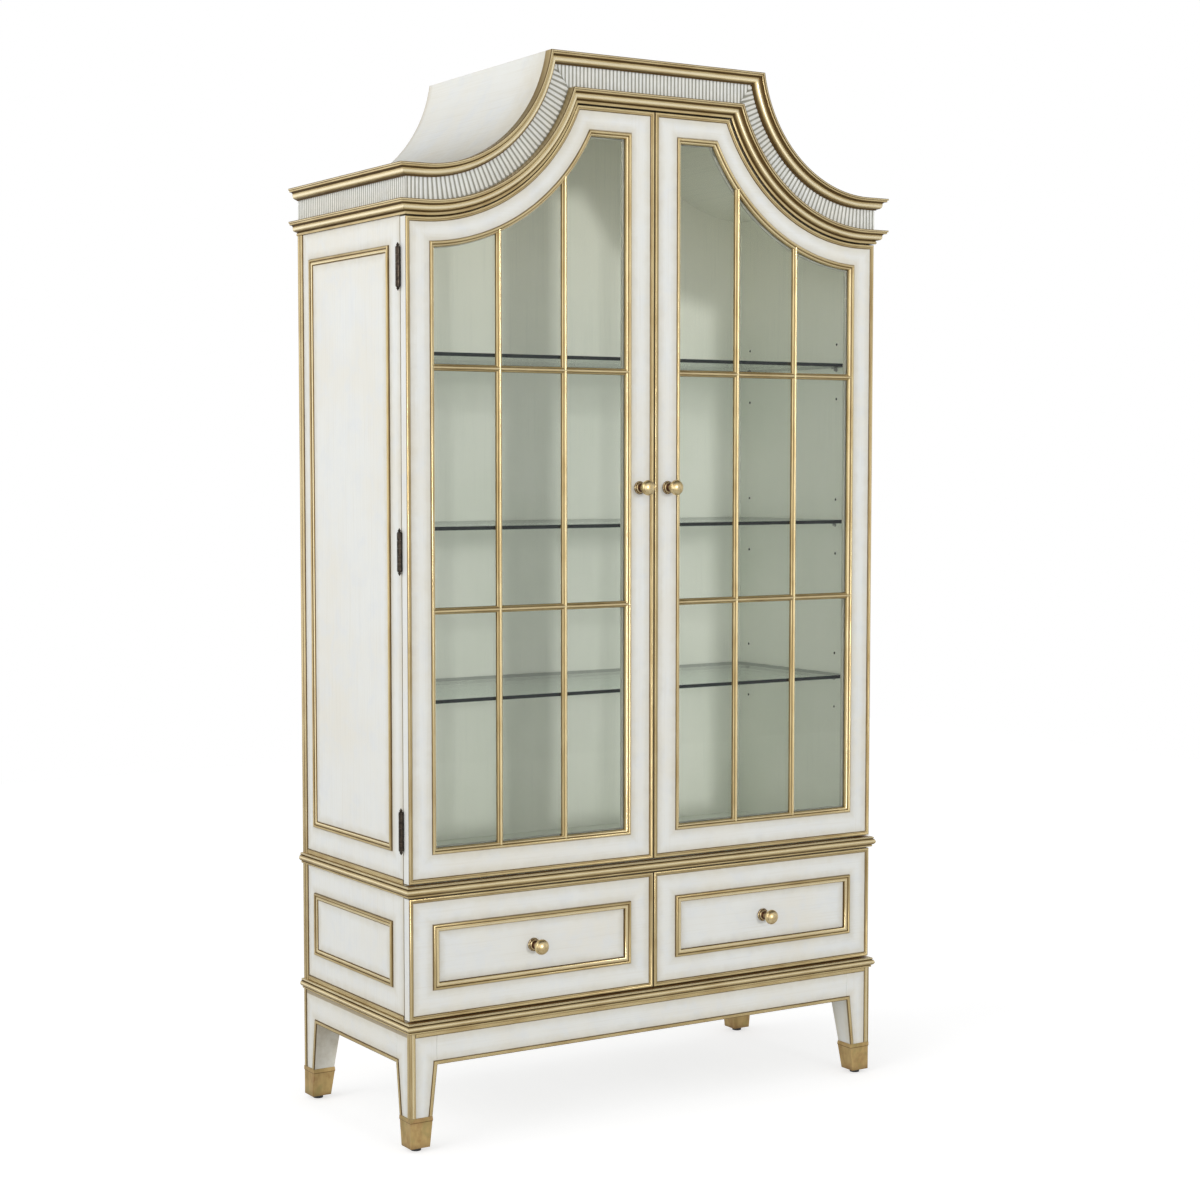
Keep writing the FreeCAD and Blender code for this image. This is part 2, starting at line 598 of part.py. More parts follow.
def taper(label, front, spread, low, high):
    """Tapered length of the left leg; spread widens it all round."""
    obj = doc.addObject("Part::Wedge", label)
    outer = "- HalfWidth - %g" % spread
    near = "FrontPlane - %g" % spread if front else "- BackPlane - %g" % spread
    slope = "( ApronBottom - GlideHigh - %g )" % LEG_END
    wide = "( LegWide - ( LegWide - FootWide ) * ( ApronBottom - %s ) / " + slope + " + %g )"
    deep = "( LegDeep - ( LegDeep - FootDeep ) * ( ApronBottom - %s ) / " + slope + " + %g )"
    both = 2 * spread
    turn = Rotation(Vector(1, 0, 0), -90)
    obj.Placement = Placement(Vector(0, 0, 0), turn)
    obj.Xmin = 0
    obj.Zmin = 0
    obj.X2min = 0
    obj.Z2min = 0
    obj.Ymin = 0
    obj.setExpression("Xmax", bound(wide % (high, both)))
    obj.setExpression("X2max", bound(wide % (low, both)))
    obj.setExpression("Zmax", bound(deep % (high, both)))
    obj.setExpression("Z2max", bound(deep % (low, both)))
    obj.setExpression("Ymax", bound("( %s ) - ( %s )" % (high, low)))
    obj.setExpression("Placement.Base.x", bound(outer))
    obj.setExpression("Placement.Base.y", bound(near))
    obj.setExpression("Placement.Base.z", bound(high))
    return obj


def behind(obj, label):
    """Mirror a front leg piece to the back: its front face then stands on the back plane."""
    flipped = doc.addObject("Part::Mirroring", label)
    flipped.Source = obj
    flipped.Normal = Vector(0, 1, 0)
    flipped.Base = Vector(0, 0.5 * (FRONT + BACK), 0)
    return flipped


foot_low = "GlideHigh + %g" % LEG_END
leg_top = box("leg_block", ("-HalfWidth", "LegWide - HalfWidth"), ("FrontPlane", "FrontPlane + LegDeep"),
              ("ApronBottom", "PlinthBottom"))
leg = fuse("leg_front_left", [leg_top, taper("leg_taper", True, 0.0, foot_low, "ApronBottom")])
finish(group("legs_front", [leg, mirrored("leg_front_right", leg)]), "legs_front")
rear = behind(leg, "leg_rear_left")
finish(group("legs_rear", [rear, mirrored("leg_rear_right", rear)]), "legs_rear")

cap_body = taper("cap_body", True, 1.4, "GlideHigh", "CapTop")
cap_band = taper("cap_band", True, 2.4, "CapTop", "CapTop + 9")
cap = cut("cap", fuse("cap_outer", [cap_body, cap_band]),
          taper("cap_core", True, 0.02, foot_low, "ApronBottom"))
rear_cap = behind(cap, "cap_rear")
finish(group("foot_caps", [cap, mirrored("cap_right", cap), rear_cap,
                           mirrored("cap_rear_right", rear_cap)]), "foot_caps")

glide = cylinder("glide", "11", "GlideHigh",
                 ("- HalfWidth + FootWide / 2", "FrontPlane + FootDeep / 2", "0"))
rear_glide = behind(glide, "glide_rear")
finish(group("foot_glides", [glide, mirrored("glide_right", glide), rear_glide,
                             mirrored("glide_rear_right", rear_glide)]), "foot_glides")

BEAD = 8.0
PROUD = 2.0
LOW_Z = S["CapTop"] + 9.3
APRON_Z = S["ApronBottom"]
PLINTH_Z = S["PlinthBottom"]


def leg_edge(z, wide, narrow):
    """Distance of a leg's inner face from its outer face at height z."""
    foot_z = S["GlideHigh"] + LEG_END
    return wide - (wide - narrow) * (APRON_Z - z) / (APRON_Z - foot_z)


def edge_strip(half, wide, narrow):
    """Bead down one leg, along the apron and down the other leg, seen from the front."""
    legs = [(-half + leg_edge(LOW_Z, wide, narrow), LOW_Z), (-half + wide, APRON_Z)]
    outer = [(x - BEAD, z) for x, z in legs[:1]] + [(legs[1][0] - BEAD, APRON_Z + BEAD)]
    path = legs + [(-x, z) for x, z in reversed(legs)]
    path += [(-x, z) for x, z in outer] + list(reversed(outer))
    solid = prism([(x, -PROUD, z) for x, z in path], (0, PROUD, 0))
    return softened(solid, -PROUD, 0.9)


def upright(x0, x1, z0, z1):
    """Upright or level flat bead lying on the plane y=0."""
    return softened(prism([(x0, -PROUD, z0), (x1, -PROUD, z0), (x1, -PROUD, z1), (x0, -PROUD, z1)],
                          (0, PROUD, 0)), -PROUD, 0.9)


def corner_bead():
    """Bead over the left front corner of a leg, on both faces."""
    reach = 11.0
    points = [(-HALF - PROUD, FRONT - PROUD), (-HALF + reach, FRONT - PROUD), (-HALF + reach, FRONT),
              (-HALF, FRONT), (-HALF, FRONT + reach), (-HALF - PROUD, FRONT + reach)]
    return prism([(x, y, LOW_Z) for x, y in points], (0, 0, PLINTH_Z - LOW_Z))


half_depth = 0.5 * (BACK - FRONT)
middle_y = 0.5 * (BACK + FRONT)
front_strip = edge_strip(HALF, S["LegWide"], S["FootWide"]).translated(Vector(0, FRONT, 0))
side_strip = edge_strip(half_depth, S["LegDeep"], S["FootDeep"]).translated(Vector(-middle_y, 0, 0))
top_strip = upright(-HALF + 12.0, HALF - 12.0, PLINTH_Z - 9.0, PLINTH_Z).translated(Vector(0, FRONT, 0))
rear_strip = upright(-BACK, -BACK + 10.0, LOW_Z, PLINTH_Z)
plinth_left = shaped("plinth_side_beads", Part.makeCompound(
    [side_wise(side_strip), side_wise(rear_strip), corner_bead()]))
finish(group("plinth_beads", [shaped("plinth_front_beads", Part.makeCompound([front_strip, top_strip])),
                              plinth_left, mirrored("plinth_right_beads", plinth_left)]), "plinth_beads")

# ---------------------------------------------------------------------------
# Mouldings on the sides: rectangles, the back edge bead and the foot strips.
# ---------------------------------------------------------------------------
PANEL_W = S["PanelBead"]
PANEL_H = S["PanelBeadProud"]


def panel_frame(x0, x1, z0, z1):
    """Rectangular applied moulding on the plane y=0, with a raised outer edge."""
    flat = ring(rectangle(x0, x1, z0, z1, -PANEL_H),
                rectangle(x0 + PANEL_W - 4, x1 - PANEL_W + 4, z0 + PANEL_W - 4, z1 - PANEL_W + 4, -PANEL_H),
                PANEL_H, 2.0)
    step = slab(rectangle(x0 + 4, x1 - 4, z0 + 4, z1 - 4, -PANEL_H + 2.6), PANEL_H - 2.6).cut(
        slab(rectangle(x0 + PANEL_W, x1 - PANEL_W, z0 + PANEL_W, z1 - PANEL_W, -PANEL_H + 2.6),
             PANEL_H - 2.6))
    return flat.fuse(step).removeSplitter()


side_trim = []
for z0, z1 in ((615.0, 1848.0), (331.5, 469.0)):
    side_trim.append(side_wise(panel_frame(-(FRONT + 438.0), -(FRONT + 73.0), z0, z1)))
shoulder_low = ARC_Z - ARC_R - LOW1
for z0, z1 in ((S["DeckTop"], shoulder_low), (S["PlinthTop"], S["DeckBottom"])):
    for y0, y1 in ((BACK - 12.0, BACK), (BACK - 24.0, BACK - 12.6)):
        side_trim.append(side_wise(upright(-y1, -y0, z0, z1)))
    side_trim.append(side_wise(upright(-BACK + 25.0, -S["CaseFront"], z0, z0 + 11.0)))
trim_left = shaped("side_trim_left", Part.makeCompound(side_trim))
finish(group("side_mouldings", [trim_left, mirrored("side_trim_right", trim_left)]), "side_mouldings")

# ---------------------------------------------------------------------------
# Doors. The left one is built and the right one is its mirror image.
# ---------------------------------------------------------------------------
DOOR_DEPTH = LOW1 + S["DoorClear"]
DOOR_IN = -0.5 * S["DoorGap"]
PANEL_Y = FRONT + S["BeadProud"]
PANEL_T = S["DoorThick"] - S["BeadProud"]
GLAZE_X0 = -HALF + S["OuterStile"]
GLAZE_X1 = -S["MeetingStileX"]
GLAZE_Z = S["RailBottomZ"]
GLAZE_DEPTH = S["GlazingArc"]
GLAZE_CROWN = CROWN - S["GlazingTopZ"]
REBATE = S["GlazingBead"] - 4.0
RETAINER_DEEP = 8.0
LEAF_SINK = 1.22


def opening(grow, y):
    """Wire of the glazed opening, taken in from the outside of the glazing bead."""
    return left_arch(GLAZE_X0 + grow, GLAZE_X1 - grow, GLAZE_Z + grow, GLAZE_DEPTH + grow, y,
                     GLAZE_CROWN + grow)


door_wire = left_arch(-HALF, DOOR_IN, S["DoorBottom"], DOOR_DEPTH, PANEL_Y)
door_panel = slab(door_wire, PANEL_T).cut(slab(opening(REBATE, PANEL_Y), PANEL_T))
glass_pocket = slab(opening(1.0, S["GlassFront"]), 40.0)
front_rebate = slab(opening(0.0, PANEL_Y), S["GlassFront"] - PANEL_Y)
door_panel = door_panel.cut(glass_pocket).cut(front_rebate)

mortises = []
for level in ("HingeLowZ", "HingeMidZ", "HingeTopZ"):
    corner = Vector(-HALF - 1, FRONT + S["DoorThick"] - LEAF_SINK, S[level] - 2.5 * S["Knuckle"] - 0.3)
    mortises.append(Part.makeBox(26.0, LEAF_SINK + 2, 5 * S["Knuckle"] + 0.6, corner))
door_panel = door_panel.cut(mortises)

stile_band = Part.makeBox(GLAZE_X0 + HALF, 200, 3000, Vector(-HALF, -300, 0))
meeting_band = Part.makeBox(DOOR_IN - GLAZE_X1, 200, 3000, Vector(GLAZE_X1, -300, 0))
middle_band = Part.makeBox(GLAZE_X1 - GLAZE_X0, 200, 1400, Vector(GLAZE_X0, -300, 0))
upper_band = Part.makeBox(GLAZE_X1 - GLAZE_X0, 200, 1400, Vector(GLAZE_X0, -300, 1400))

edge_outer = left_arch(-HALF, DOOR_IN, S["DoorBottom"], DOOR_DEPTH, FRONT)
edge_inner = left_arch(-HALF + S["EdgeBead"], DOOR_IN - S["EdgeBead"], S["DoorBottom"] + S["EdgeBead"],
                       DOOR_DEPTH + S["EdgeBead"], FRONT)
edge_bead = ring(edge_outer, edge_inner, S["BeadProud"], 1.4)

bead_y = FRONT - 0.5
glazing = ring(opening(0.0, bead_y), opening(7.0, bead_y), S["GlassFront"] - bead_y, 2.2)
lip = slab(opening(7.0, bead_y + 4.0), S["GlassFront"] - bead_y - 4.0).cut(
    slab(opening(S["GlazingBead"], bead_y + 4.0), S["GlassFront"] - bead_y - 4.0))
glazing = glazing.fuse(lip).removeSplitter()

glass = slab(opening(2.0, S["GlassFront"]), S["GlassThick"])
retainer_y = S["GlassFront"] + S["GlassThick"]
retainer = slab(opening(1.2, retainer_y), RETAINER_DEEP).cut(
    slab(opening(REBATE + 6.0, retainer_y), RETAINER_DEEP))

bar_y = FRONT + 1.5
bar_deep = S["GlassFront"] - bar_y
clear_x0 = GLAZE_X0 + S["GlazingBead"]
clear_x1 = GLAZE_X1 - S["GlazingBead"]
pane = (clear_x1 - clear_x0 - 2 * S["Muntin"]) / 3.0
bar_x = [clear_x0 + pane, clear_x0 + 2 * pane + S["Muntin"]]
clear_shape = slab(opening(S["GlazingBead"], bar_y), bar_deep)
bars = []
for x in bar_x:
    length = 1500.0
    upright_bar = prism([(x, bar_y, GLAZE_Z), (x + S["Muntin"], bar_y, GLAZE_Z),
                         (x + S["Muntin"], bar_y, GLAZE_Z + length), (x, bar_y, GLAZE_Z + length)],
                        (0, bar_deep, 0))
    long_edges = [edge for edge in upright_bar.Edges
                  if edge.Length > 1000 and abs(edge.Vertexes[0].Point.y - bar_y) < 1e-6]
    bars.append(upright_bar.makeFillet(4.0, long_edges).common(clear_shape))
for z in (S["LowerBarZ"], S["UpperBarZ"]):
    low = z - 0.5 * S["Muntin"]
    for x in (clear_x0, clear_x0 + pane + S["Muntin"], clear_x0 + 2 * (pane + S["Muntin"])):
        level_bar = prism([(x, bar_y, low), (x + pane, bar_y, low), (x + pane, bar_y, low + S["Muntin"]),
                           (x, bar_y, low + S["Muntin"])], (0, bar_deep, 0))
        long_edges = [edge for edge in level_bar.Edges
                      if edge.Length > 100 and abs(edge.Vertexes[0].Point.y - bar_y) < 1e-6]
        bars.append(level_bar.makeFillet(4.0, long_edges))

door_pieces = [
    ("stiles", [door_panel.common(stile_band), door_panel.common(meeting_band)]),
    ("rails", [door_panel.common(middle_band), door_panel.common(upper_band)]),
    ("edge_bead", [edge_bead]),
    ("glazing_bead", [glazing, retainer]),
    ("muntins", bars),
    ("glass", [glass]),
]
for name, solids in door_pieces:
    label = "door_left_" + name
    left = finish(shaped(label, Part.makeCompound(solids) if len(solids) > 1 else solids[0]), label)
    finish(mirrored("door_right_" + name, left), "door_right_" + name)


def knob(label, x, face, reach, z):
    """Round base, waisted neck and flattened head, standing out from face towards -Y."""
    forward = Vector(0, -1, 0)
    base = cylinder(label + "_base", "14.3", "3", (x, face, z), forward)
    rim = cylinder(label + "_rim", "11", "6.5", (x, face, z), forward)
    neck = cylinder(label + "_neck", "6", "( %s ) - FrontPlane + %s" % (face, reach), (x, face, z), forward)
    behind_head = "FrontPlane - %s + KnobHalfThick + 2.5" % reach
    collar = cylinder(label + "_collar", "8.5", "3.5", (x, behind_head, z), forward)
    head = doc.addObject("Part::Ellipsoid", label + "_head")
    head.Placement = Placement(Vector(0, 0, 0), Rotation(Vector(0, 0, 1), forward))
    head.setExpression("Radius1", bound("KnobHalfThick"))
    head.setExpression("Radius2", bound("KnobRadius"))
    head.setExpression("Radius3", bound("KnobRadius"))
    for name, text in zip("xyz", (x, "FrontPlane - " + reach, z)):
        head.setExpression("Placement.Base." + name, bound(text))
    return fuse(label, [base, rim, neck, collar, head])


for label, x, face, reach, z in (
        ("door_left_knob", "- DoorKnobX", "FrontPlane + BeadProud", "DoorKnobReach", "DoorKnobZ"),
        ("drawer_left_knob", "- ( HalfWidth / 2 + DoorGap / 4 )", "FrontPlane + BeadProud + PanelSink",
         "DrawerKnobReach", "DrawerKnobZ")):
    left = finish(knob(label, x, face, reach, z), label)
    finish(mirrored(label.replace("left", "right"), left), label.replace("left", "right"))

# ---------------------------------------------------------------------------
# Butt hinges: three each side, on the side of the case at the back of the doors.
# ---------------------------------------------------------------------------
KNUCKLE = S["Knuckle"]
LEAF = 2.0
LEAF_WIDE = 24.0


def hinge_leaf(z, face_y, knuckles):
    """Flat leaf against a door or case edge, with its knuckles round the pin."""
    axis = Vector(-S["HingeX"], S["HingeY"], 0)
    low = z - 2.5 * KNUCKLE
    solid = Part.makeBox(LEAF_WIDE - 1.0, LEAF, 5 * KNUCKLE, Vector(-HALF + 0.6, face_y, low))
    for n in knuckles:
        start = low + n * KNUCKLE + 0.2
        barrel = Part.makeCylinder(S["HingeRadius"], KNUCKLE - 0.4, Vector(axis.x, axis.y, start))
        web = Part.makeBox(S["HingeX"] - HALF + 1.6, LEAF, KNUCKLE - 0.4,
                           Vector(-S["HingeX"], face_y, start))
        solid = solid.fuse([barrel, web])
    others = [n for n in range(5) if n not in knuckles]
    for n in others:
        foot = Vector(axis.x, axis.y, low + n * KNUCKLE)
        solid = solid.cut(Part.makeCylinder(S["HingeRadius"] + 0.5, KNUCKLE, foot))
    bore = Part.makeCylinder(S["HingeBoreRadius"], 5 * KNUCKLE + 2, Vector(axis.x, axis.y, low - 1))
    return solid.cut(bore).removeSplitter()


def hinge_pin(z):
    """Loose pin with a turned finial at each end."""
    x, y = -S["HingeX"], S["HingeY"]
    low = z - 2.5 * KNUCKLE
    pin = Part.makeCylinder(S["HingePinRadius"], 5 * KNUCKLE, Vector(x, y, low))
    pieces = []
    for end, sign in ((low, -1), (low + 5 * KNUCKLE, 1)):
        up = Vector(0, 0, sign)
        pieces.append(Part.makeCylinder(4.2, 1.6, Vector(x, y, end), up))
        pieces.append(Part.makeSphere(3.2, Vector(x, y, end + sign * 4.0)))
        pieces.append(Part.makeCone(2.4, 0.8, 3.2, Vector(x, y, end + sign * 6.2), up))
    return pin.fuse(pieces).removeSplitter()


case_leaf_y = S["CaseFront"] - 0.8
door_leaf_y = FRONT + S["DoorThick"] - 1.2
hinge_levels = [S["HingeLowZ"], S["HingeMidZ"], S["HingeTopZ"]]
case_leaves = shaped("case_leaves_left", Part.makeCompound(
    [hinge_leaf(z, case_leaf_y, (0, 2, 4)) for z in hinge_levels]))
finish(group("hinge_case_leaves", [case_leaves, mirrored("case_leaves_right", case_leaves)]),
       "hinge_case_leaves")
hinge_pins = shaped("hinge_pins_left", Part.makeCompound([hinge_pin(z) for z in hinge_levels]))
finish(group("hinge_pins", [hinge_pins, mirrored("hinge_pins_right", hinge_pins)]), "hinge_pins")

# A magnetic catch under the header for each door, and its strike plate on the door.
catch_z = CROWN - header_depth
CATCH_HIGH = 12.0
catch = box("catch_left", ("-62", "-22"), ("CaseFront", "CaseFront + 16"),
            ("%g" % (catch_z - CATCH_HIGH), "%g" % catch_z))
finish(group("door_catches", [catch, mirrored("catch_right", catch)]), "door_catches")
strike_corner = Vector(-58.0, FRONT + S["DoorThick"], catch_z - CATCH_HIGH + 0.5)
strike = Part.makeBox(32.0, 0.8, CATCH_HIGH - 1, strike_corner)
hardware = finish(shaped("door_left_hardware", Part.makeCompound(
    [hinge_leaf(z, door_leaf_y, (1, 3)) for z in hinge_levels] + [strike])), "door_left_hardware")
finish(mirrored("door_right_hardware", hardware), "door_right_hardware")

# ---------------------------------------------------------------------------
# Drawers: overlay front with an edge bead and an applied moulding, box behind.
# ---------------------------------------------------------------------------
front_board = box("drawer_front_board", ("-HalfWidth", "- DoorGap / 2"),
                  ("FrontPlane + BeadProud", "FrontPlane + DoorThick"), ("DrawerBottom", "DrawerTop"))
front_sink = box("drawer_front_sink", ("OuterStile - HalfWidth + PanelBead", "- MeetingStileX - PanelBead"),
                 ("FrontPlane + BeadProud - 1", "FrontPlane + BeadProud + PanelSink"),
                 ("PanelBeadLowZ + PanelBead", "PanelBeadHighZ - PanelBead"))
front_left = finish(cut("drawer_left_front", front_board, front_sink), "drawer_left_front")
finish(mirrored("drawer_right_front", front_left), "drawer_right_front")

drawer_edge = ring(rectangle(-HALF, DOOR_IN, S["DrawerBottom"], S["DrawerTop"], FRONT),
                   rectangle(-HALF + S["EdgeBead"], DOOR_IN - S["EdgeBead"],
                             S["DrawerBottom"] + S["EdgeBead"], S["DrawerTop"] - S["EdgeBead"], FRONT),
                   S["BeadProud"], 1.4)
drawer_panel = panel_frame(GLAZE_X0, GLAZE_X1, S["PanelBeadLowZ"], S["PanelBeadHighZ"])
drawer_panel.translate(Vector(0, PANEL_Y, 0))
trim = finish(shaped("drawer_left_mouldings", Part.makeCompound([drawer_edge, drawer_panel])),
              "drawer_left_mouldings")
finish(mirrored("drawer_right_mouldings", trim), "drawer_right_mouldings")

side_out = ("Board - HalfWidth + DrawerSideGap", "Board - HalfWidth + DrawerSideGap + DrawerSideThick")
side_in = ("- Board / 2 - DrawerSideGap - DrawerSideThick", "- Board / 2 - DrawerSideGap")
box_y = ("FrontPlane + DoorThick", "FrontPlane + DoorThick + DrawerBoxDeep")
box_z = ("DrawerBottom + 8", "DrawerBottom + 8 + DrawerBoxHigh")
between = (side_out[1], side_in[0])
front_end = (box_y[0], box_y[0] + " + DrawerSideThick")
back_end = (box_y[1] + " - DrawerSideThick", box_y[1])
bottom_y = (front_end[1], back_end[0])
drawer_box = finish(group("drawer_left_box", [
    box("drawer_side_outer", side_out, box_y, box_z),
    box("drawer_side_inner", side_in, box_y, box_z),
    box("drawer_inner_front", between, front_end, box_z),
    box("drawer_inner_back", between, back_end, box_z),
    box("drawer_bottom", between, bottom_y, ("DrawerBottom + 14", "DrawerBottom + 20")),
]), "drawer_left_box")
finish(mirrored("drawer_right_box", drawer_box), "drawer_right_box")

# ---------------------------------------------------------------------------
# Write every sub-part.
# ---------------------------------------------------------------------------
doc.recompute()
for obj in doc.Objects:
    if "Invalid" in obj.State or "Error" in obj.State:
        raise RuntimeError("%s did not build: %s" % (obj.Label, obj.State))
os.makedirs("parts", exist_ok=True)
for part in parts:
    shape = part.Shape
    if shape.isNull() or not shape.isValid() or not shape.Solids:
        raise RuntimeError("%s has no sound solid" % part.Label)
    box_mm = shape.BoundBox
    print("%-24s solids %3d  x %8.2f %8.2f  y %8.2f %8.2f  z %8.2f %8.2f  vol %.0f" % (
        part.Label, len(shape.Solids), box_mm.XMin, box_mm.XMax, box_mm.YMin, box_mm.YMax,
        box_mm.ZMin, box_mm.ZMax, shape.Volume))
    shape.exportStep(os.path.join("parts", part.Label + ".step"))
print("%d sub-parts" % len(parts))
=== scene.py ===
from collections import namedtuple
from functools import partial, reduce
from math import acos, asin, cos, hypot, pi, radians, sin, sqrt

import bmesh
import bpy
from mathutils import Matrix, Vector


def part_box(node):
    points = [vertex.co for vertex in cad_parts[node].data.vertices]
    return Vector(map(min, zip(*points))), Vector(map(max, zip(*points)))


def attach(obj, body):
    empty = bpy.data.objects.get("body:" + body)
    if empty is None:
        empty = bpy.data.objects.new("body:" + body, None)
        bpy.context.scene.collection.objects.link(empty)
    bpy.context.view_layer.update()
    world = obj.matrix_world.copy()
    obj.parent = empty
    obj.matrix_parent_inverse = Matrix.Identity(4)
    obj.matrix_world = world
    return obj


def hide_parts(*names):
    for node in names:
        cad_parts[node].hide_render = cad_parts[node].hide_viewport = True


# Looks of the curio cabinet: run mouldings, knobs, hinges, paint, gilding, glass and a pale studio.
# Metres throughout; X to the right, Y to the back, Z up. MM turns drawing sizes into metres.

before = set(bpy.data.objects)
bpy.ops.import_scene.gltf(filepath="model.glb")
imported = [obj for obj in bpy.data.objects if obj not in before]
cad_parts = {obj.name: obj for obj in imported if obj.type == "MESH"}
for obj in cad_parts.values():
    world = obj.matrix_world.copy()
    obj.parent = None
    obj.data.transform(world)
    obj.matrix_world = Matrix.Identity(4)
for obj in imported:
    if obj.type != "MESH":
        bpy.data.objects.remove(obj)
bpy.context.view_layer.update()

MM = 0.001
SHARP_ANGLE = radians(38)
BEVEL_ANGLE = radians(40)
MERGE_REACH = 1e-7
WELD_REACH = 1e-6

# ---- Measurements, from model.glb where a node's box gives them ----
SIDE_LOW, SIDE_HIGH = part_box("upper_side_right")
DOOR_LOW, DOOR_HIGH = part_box("door_left_edge_bead")
GLAZE_LOW, GLAZE_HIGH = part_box("door_left_glazing_bead")
DRAWER_LOW, DRAWER_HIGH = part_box("drawer_left_front")
DECK_LOW, DECK_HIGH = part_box("deck_board")
PLINTH_LOW, PLINTH_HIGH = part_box("bottom_board")
HALF = SIDE_HIGH.x
INNER = SIDE_LOW.x
BACK = SIDE_HIGH.y
CASE_FRONT = SIDE_LOW.y
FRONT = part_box("frieze_front")[0].y
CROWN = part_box("roof_crown")[1].z
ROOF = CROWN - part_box("roof_crown")[0].z
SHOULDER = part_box("roof_curve_left")[0].z + ROOF
BACK_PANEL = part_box("upper_back")[0].y
APRON_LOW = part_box("aprons")[0].z

# The outline of the pediment: a concave arc each side of a flat crown.
ARC_X = 565 * MM
ARC_Z = 2300 * MM
ARC_R = ARC_Z - SHOULDER
ARC_STEPS = 44

# Depths below that outline, and sizes of the mouldings and fittings.
UPPER_CORNICE = 25 * MM
FRIEZE_END = 71 * MM
CORNICE_END = 99 * MM
OVERHANG = 23 * MM
DOOR_DEPTH = CROWN - DOOR_HIGH.z
GLAZE_DEPTH = 151 * MM
GLAZE_CROWN = CROWN - GLAZE_HIGH.z
PANEL_Y = FRONT + 3 * MM
EDGE_BEAD = 9 * MM
GLAZING_BEAD = 12 * MM
PANEL_BEAD = 14 * MM
PANEL_SINK = 4 * MM
GLASS_Y, GLASS_BACK = [corner.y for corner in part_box("door_left_glass")]
MUNTIN = 14 * MM
BAR_LEVELS = (1109 * MM, 1602.5 * MM)
HINGE_X = 605.5 * MM
HINGE_Y = -197 * MM
HINGE_LEVELS = (661.5 * MM, 1230.5 * MM, 1802 * MM)
KNUCKLE = 15.6 * MM
PIN_ROWS = (-118.5 * MM, 212.5 * MM)
SIDE_PANEL_Y = (FRONT + 73 * MM, FRONT + 438 * MM)
SIDE_PANELS_Z = ((615 * MM, 1848 * MM), (331.5 * MM, 469 * MM))
DRAWER_PANEL_Z = (331.5 * MM, 467 * MM)
LEG_WIDE, FOOT_WIDE = 62 * MM, 43 * MM
LEG_DEEP, FOOT_DEEP = 60 * MM, 38 * MM
FOOT_Z = 12 * MM
MIDDLE_Y = 0.5 * (BACK + FRONT)
HALF_DEEP = 0.5 * (BACK - FRONT)
CAP_END = 71.3 * MM
BACK_BEAD = 12 * MM
FOOT_STRIP = 11 * MM
LEG_BEAD = 8 * MM
CORNER_BEAD = 11 * MM
APRON_BEAD = 9 * MM
APRON_END = 12 * MM
REAR_BEAD = 10 * MM
BEAD_GAP = 0.4 * MM

RIGHT = Vector((1, 0, 0))
LEFT = Vector((-1, 0, 0))
FORWARD = Vector((0, -1, 0))
BACKWARD = Vector((0, 1, 0))
UP = Vector((0, 0, 1))

# ---- Meshes: every piece is made of strips, and a strip is a list of rows of points ----
# A strip's second field holds glaze in the hollows with painted shade (above 0) and painted highlights (below
# 0).
Strip = namedtuple("Strip", "rows glaze closed ring", defaults=(False, True))


def lengths(points, closed):
    """Running distance along a list of points, and on to the first one if it is closed."""
    total = [0]
    for first, second in zip(points, points[1:] + points[:1] * closed):
        total.append(total[-1] + (second - first).length)
    return total


def add_strip(build, strip, glaze_and_light_layer, run_layer):
    """Faces between neighbouring rows, with caps where an open run of closed rows ends."""
    rows = [[build.verts.new(point) for point in row] for row in strip.rows]
    for number, row in enumerate(rows):
        values = strip.glaze[number] if isinstance(strip.glaze[0], (list, tuple)) else strip.glaze
        for vertex, value in zip(row, values):
            vertex[glaze_and_light_layer] = value
    along = lengths([row[0] for row in strip.rows], strip.closed)
    across = lengths(strip.rows[0], strip.ring)
    count = len(rows[0])
    for i in range(len(rows) if strip.closed else len(rows) - 1):
        near, far = rows[i], rows[(i + 1) % len(rows)]
        for j in range(count if strip.ring else count - 1):
            k = (j + 1) % count
            face = build.faces.new((near[j], near[k], far[k], far[j]))
            face.smooth = True
            places = ((along[i], across[j]), (along[i], across[j + 1]),
                      (along[i + 1], across[j + 1]), (along[i + 1], across[j]))
            for loop, place in zip(face.loops, places):
                loop[run_layer].uv = place
    if strip.ring and not strip.closed:
        build.faces.new(rows[0])
        build.faces.new(rows[-1])


def add_object(name, data):
    made = bpy.data.objects.new(name, data)
    bpy.context.scene.collection.objects.link(made)
    return made


def make_piece(name, strips, body, material, stands_for=()):
    """Mesh object from strips, riding on a body and wearing a material."""
    mesh = bpy.data.meshes.new(name)
    build = bmesh.new()
    glaze_and_light_layer = build.verts.layers.float.new("glaze")
    run_layer = build.loops.layers.uv.new("run")
    for strip in strips:
        add_strip(build, strip, glaze_and_light_layer, run_layer)
    bmesh.ops.remove_doubles(build, verts=build.verts, dist=MERGE_REACH)
    bmesh.ops.recalc_face_normals(build, faces=build.faces)
    build.to_mesh(mesh)
    build.free()
    mesh.set_sharp_from_angle(angle=SHARP_ANGLE)
    mesh.materials.append(material)
    piece = add_object(name, mesh)
    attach(piece, body)
    if stands_for:
        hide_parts(*stands_for)


def gild(name, strips, body, *nodes):
    """A gold moulding in place of CAD nodes."""
    make_piece(name, strips, body, GILT, nodes)


def mirrored(strip):
    """The same strip on the other side of the cabinet."""
    rows = [[Vector((-p.x, p.y, p.z)) for p in row] for row in strip.rows]
    return strip._replace(rows=rows)


def both_sides(strips):
    return strips + [mirrored(strip) for strip in strips]


def glaze_and_light_of(profile):
    return [point[2] for point in profile]


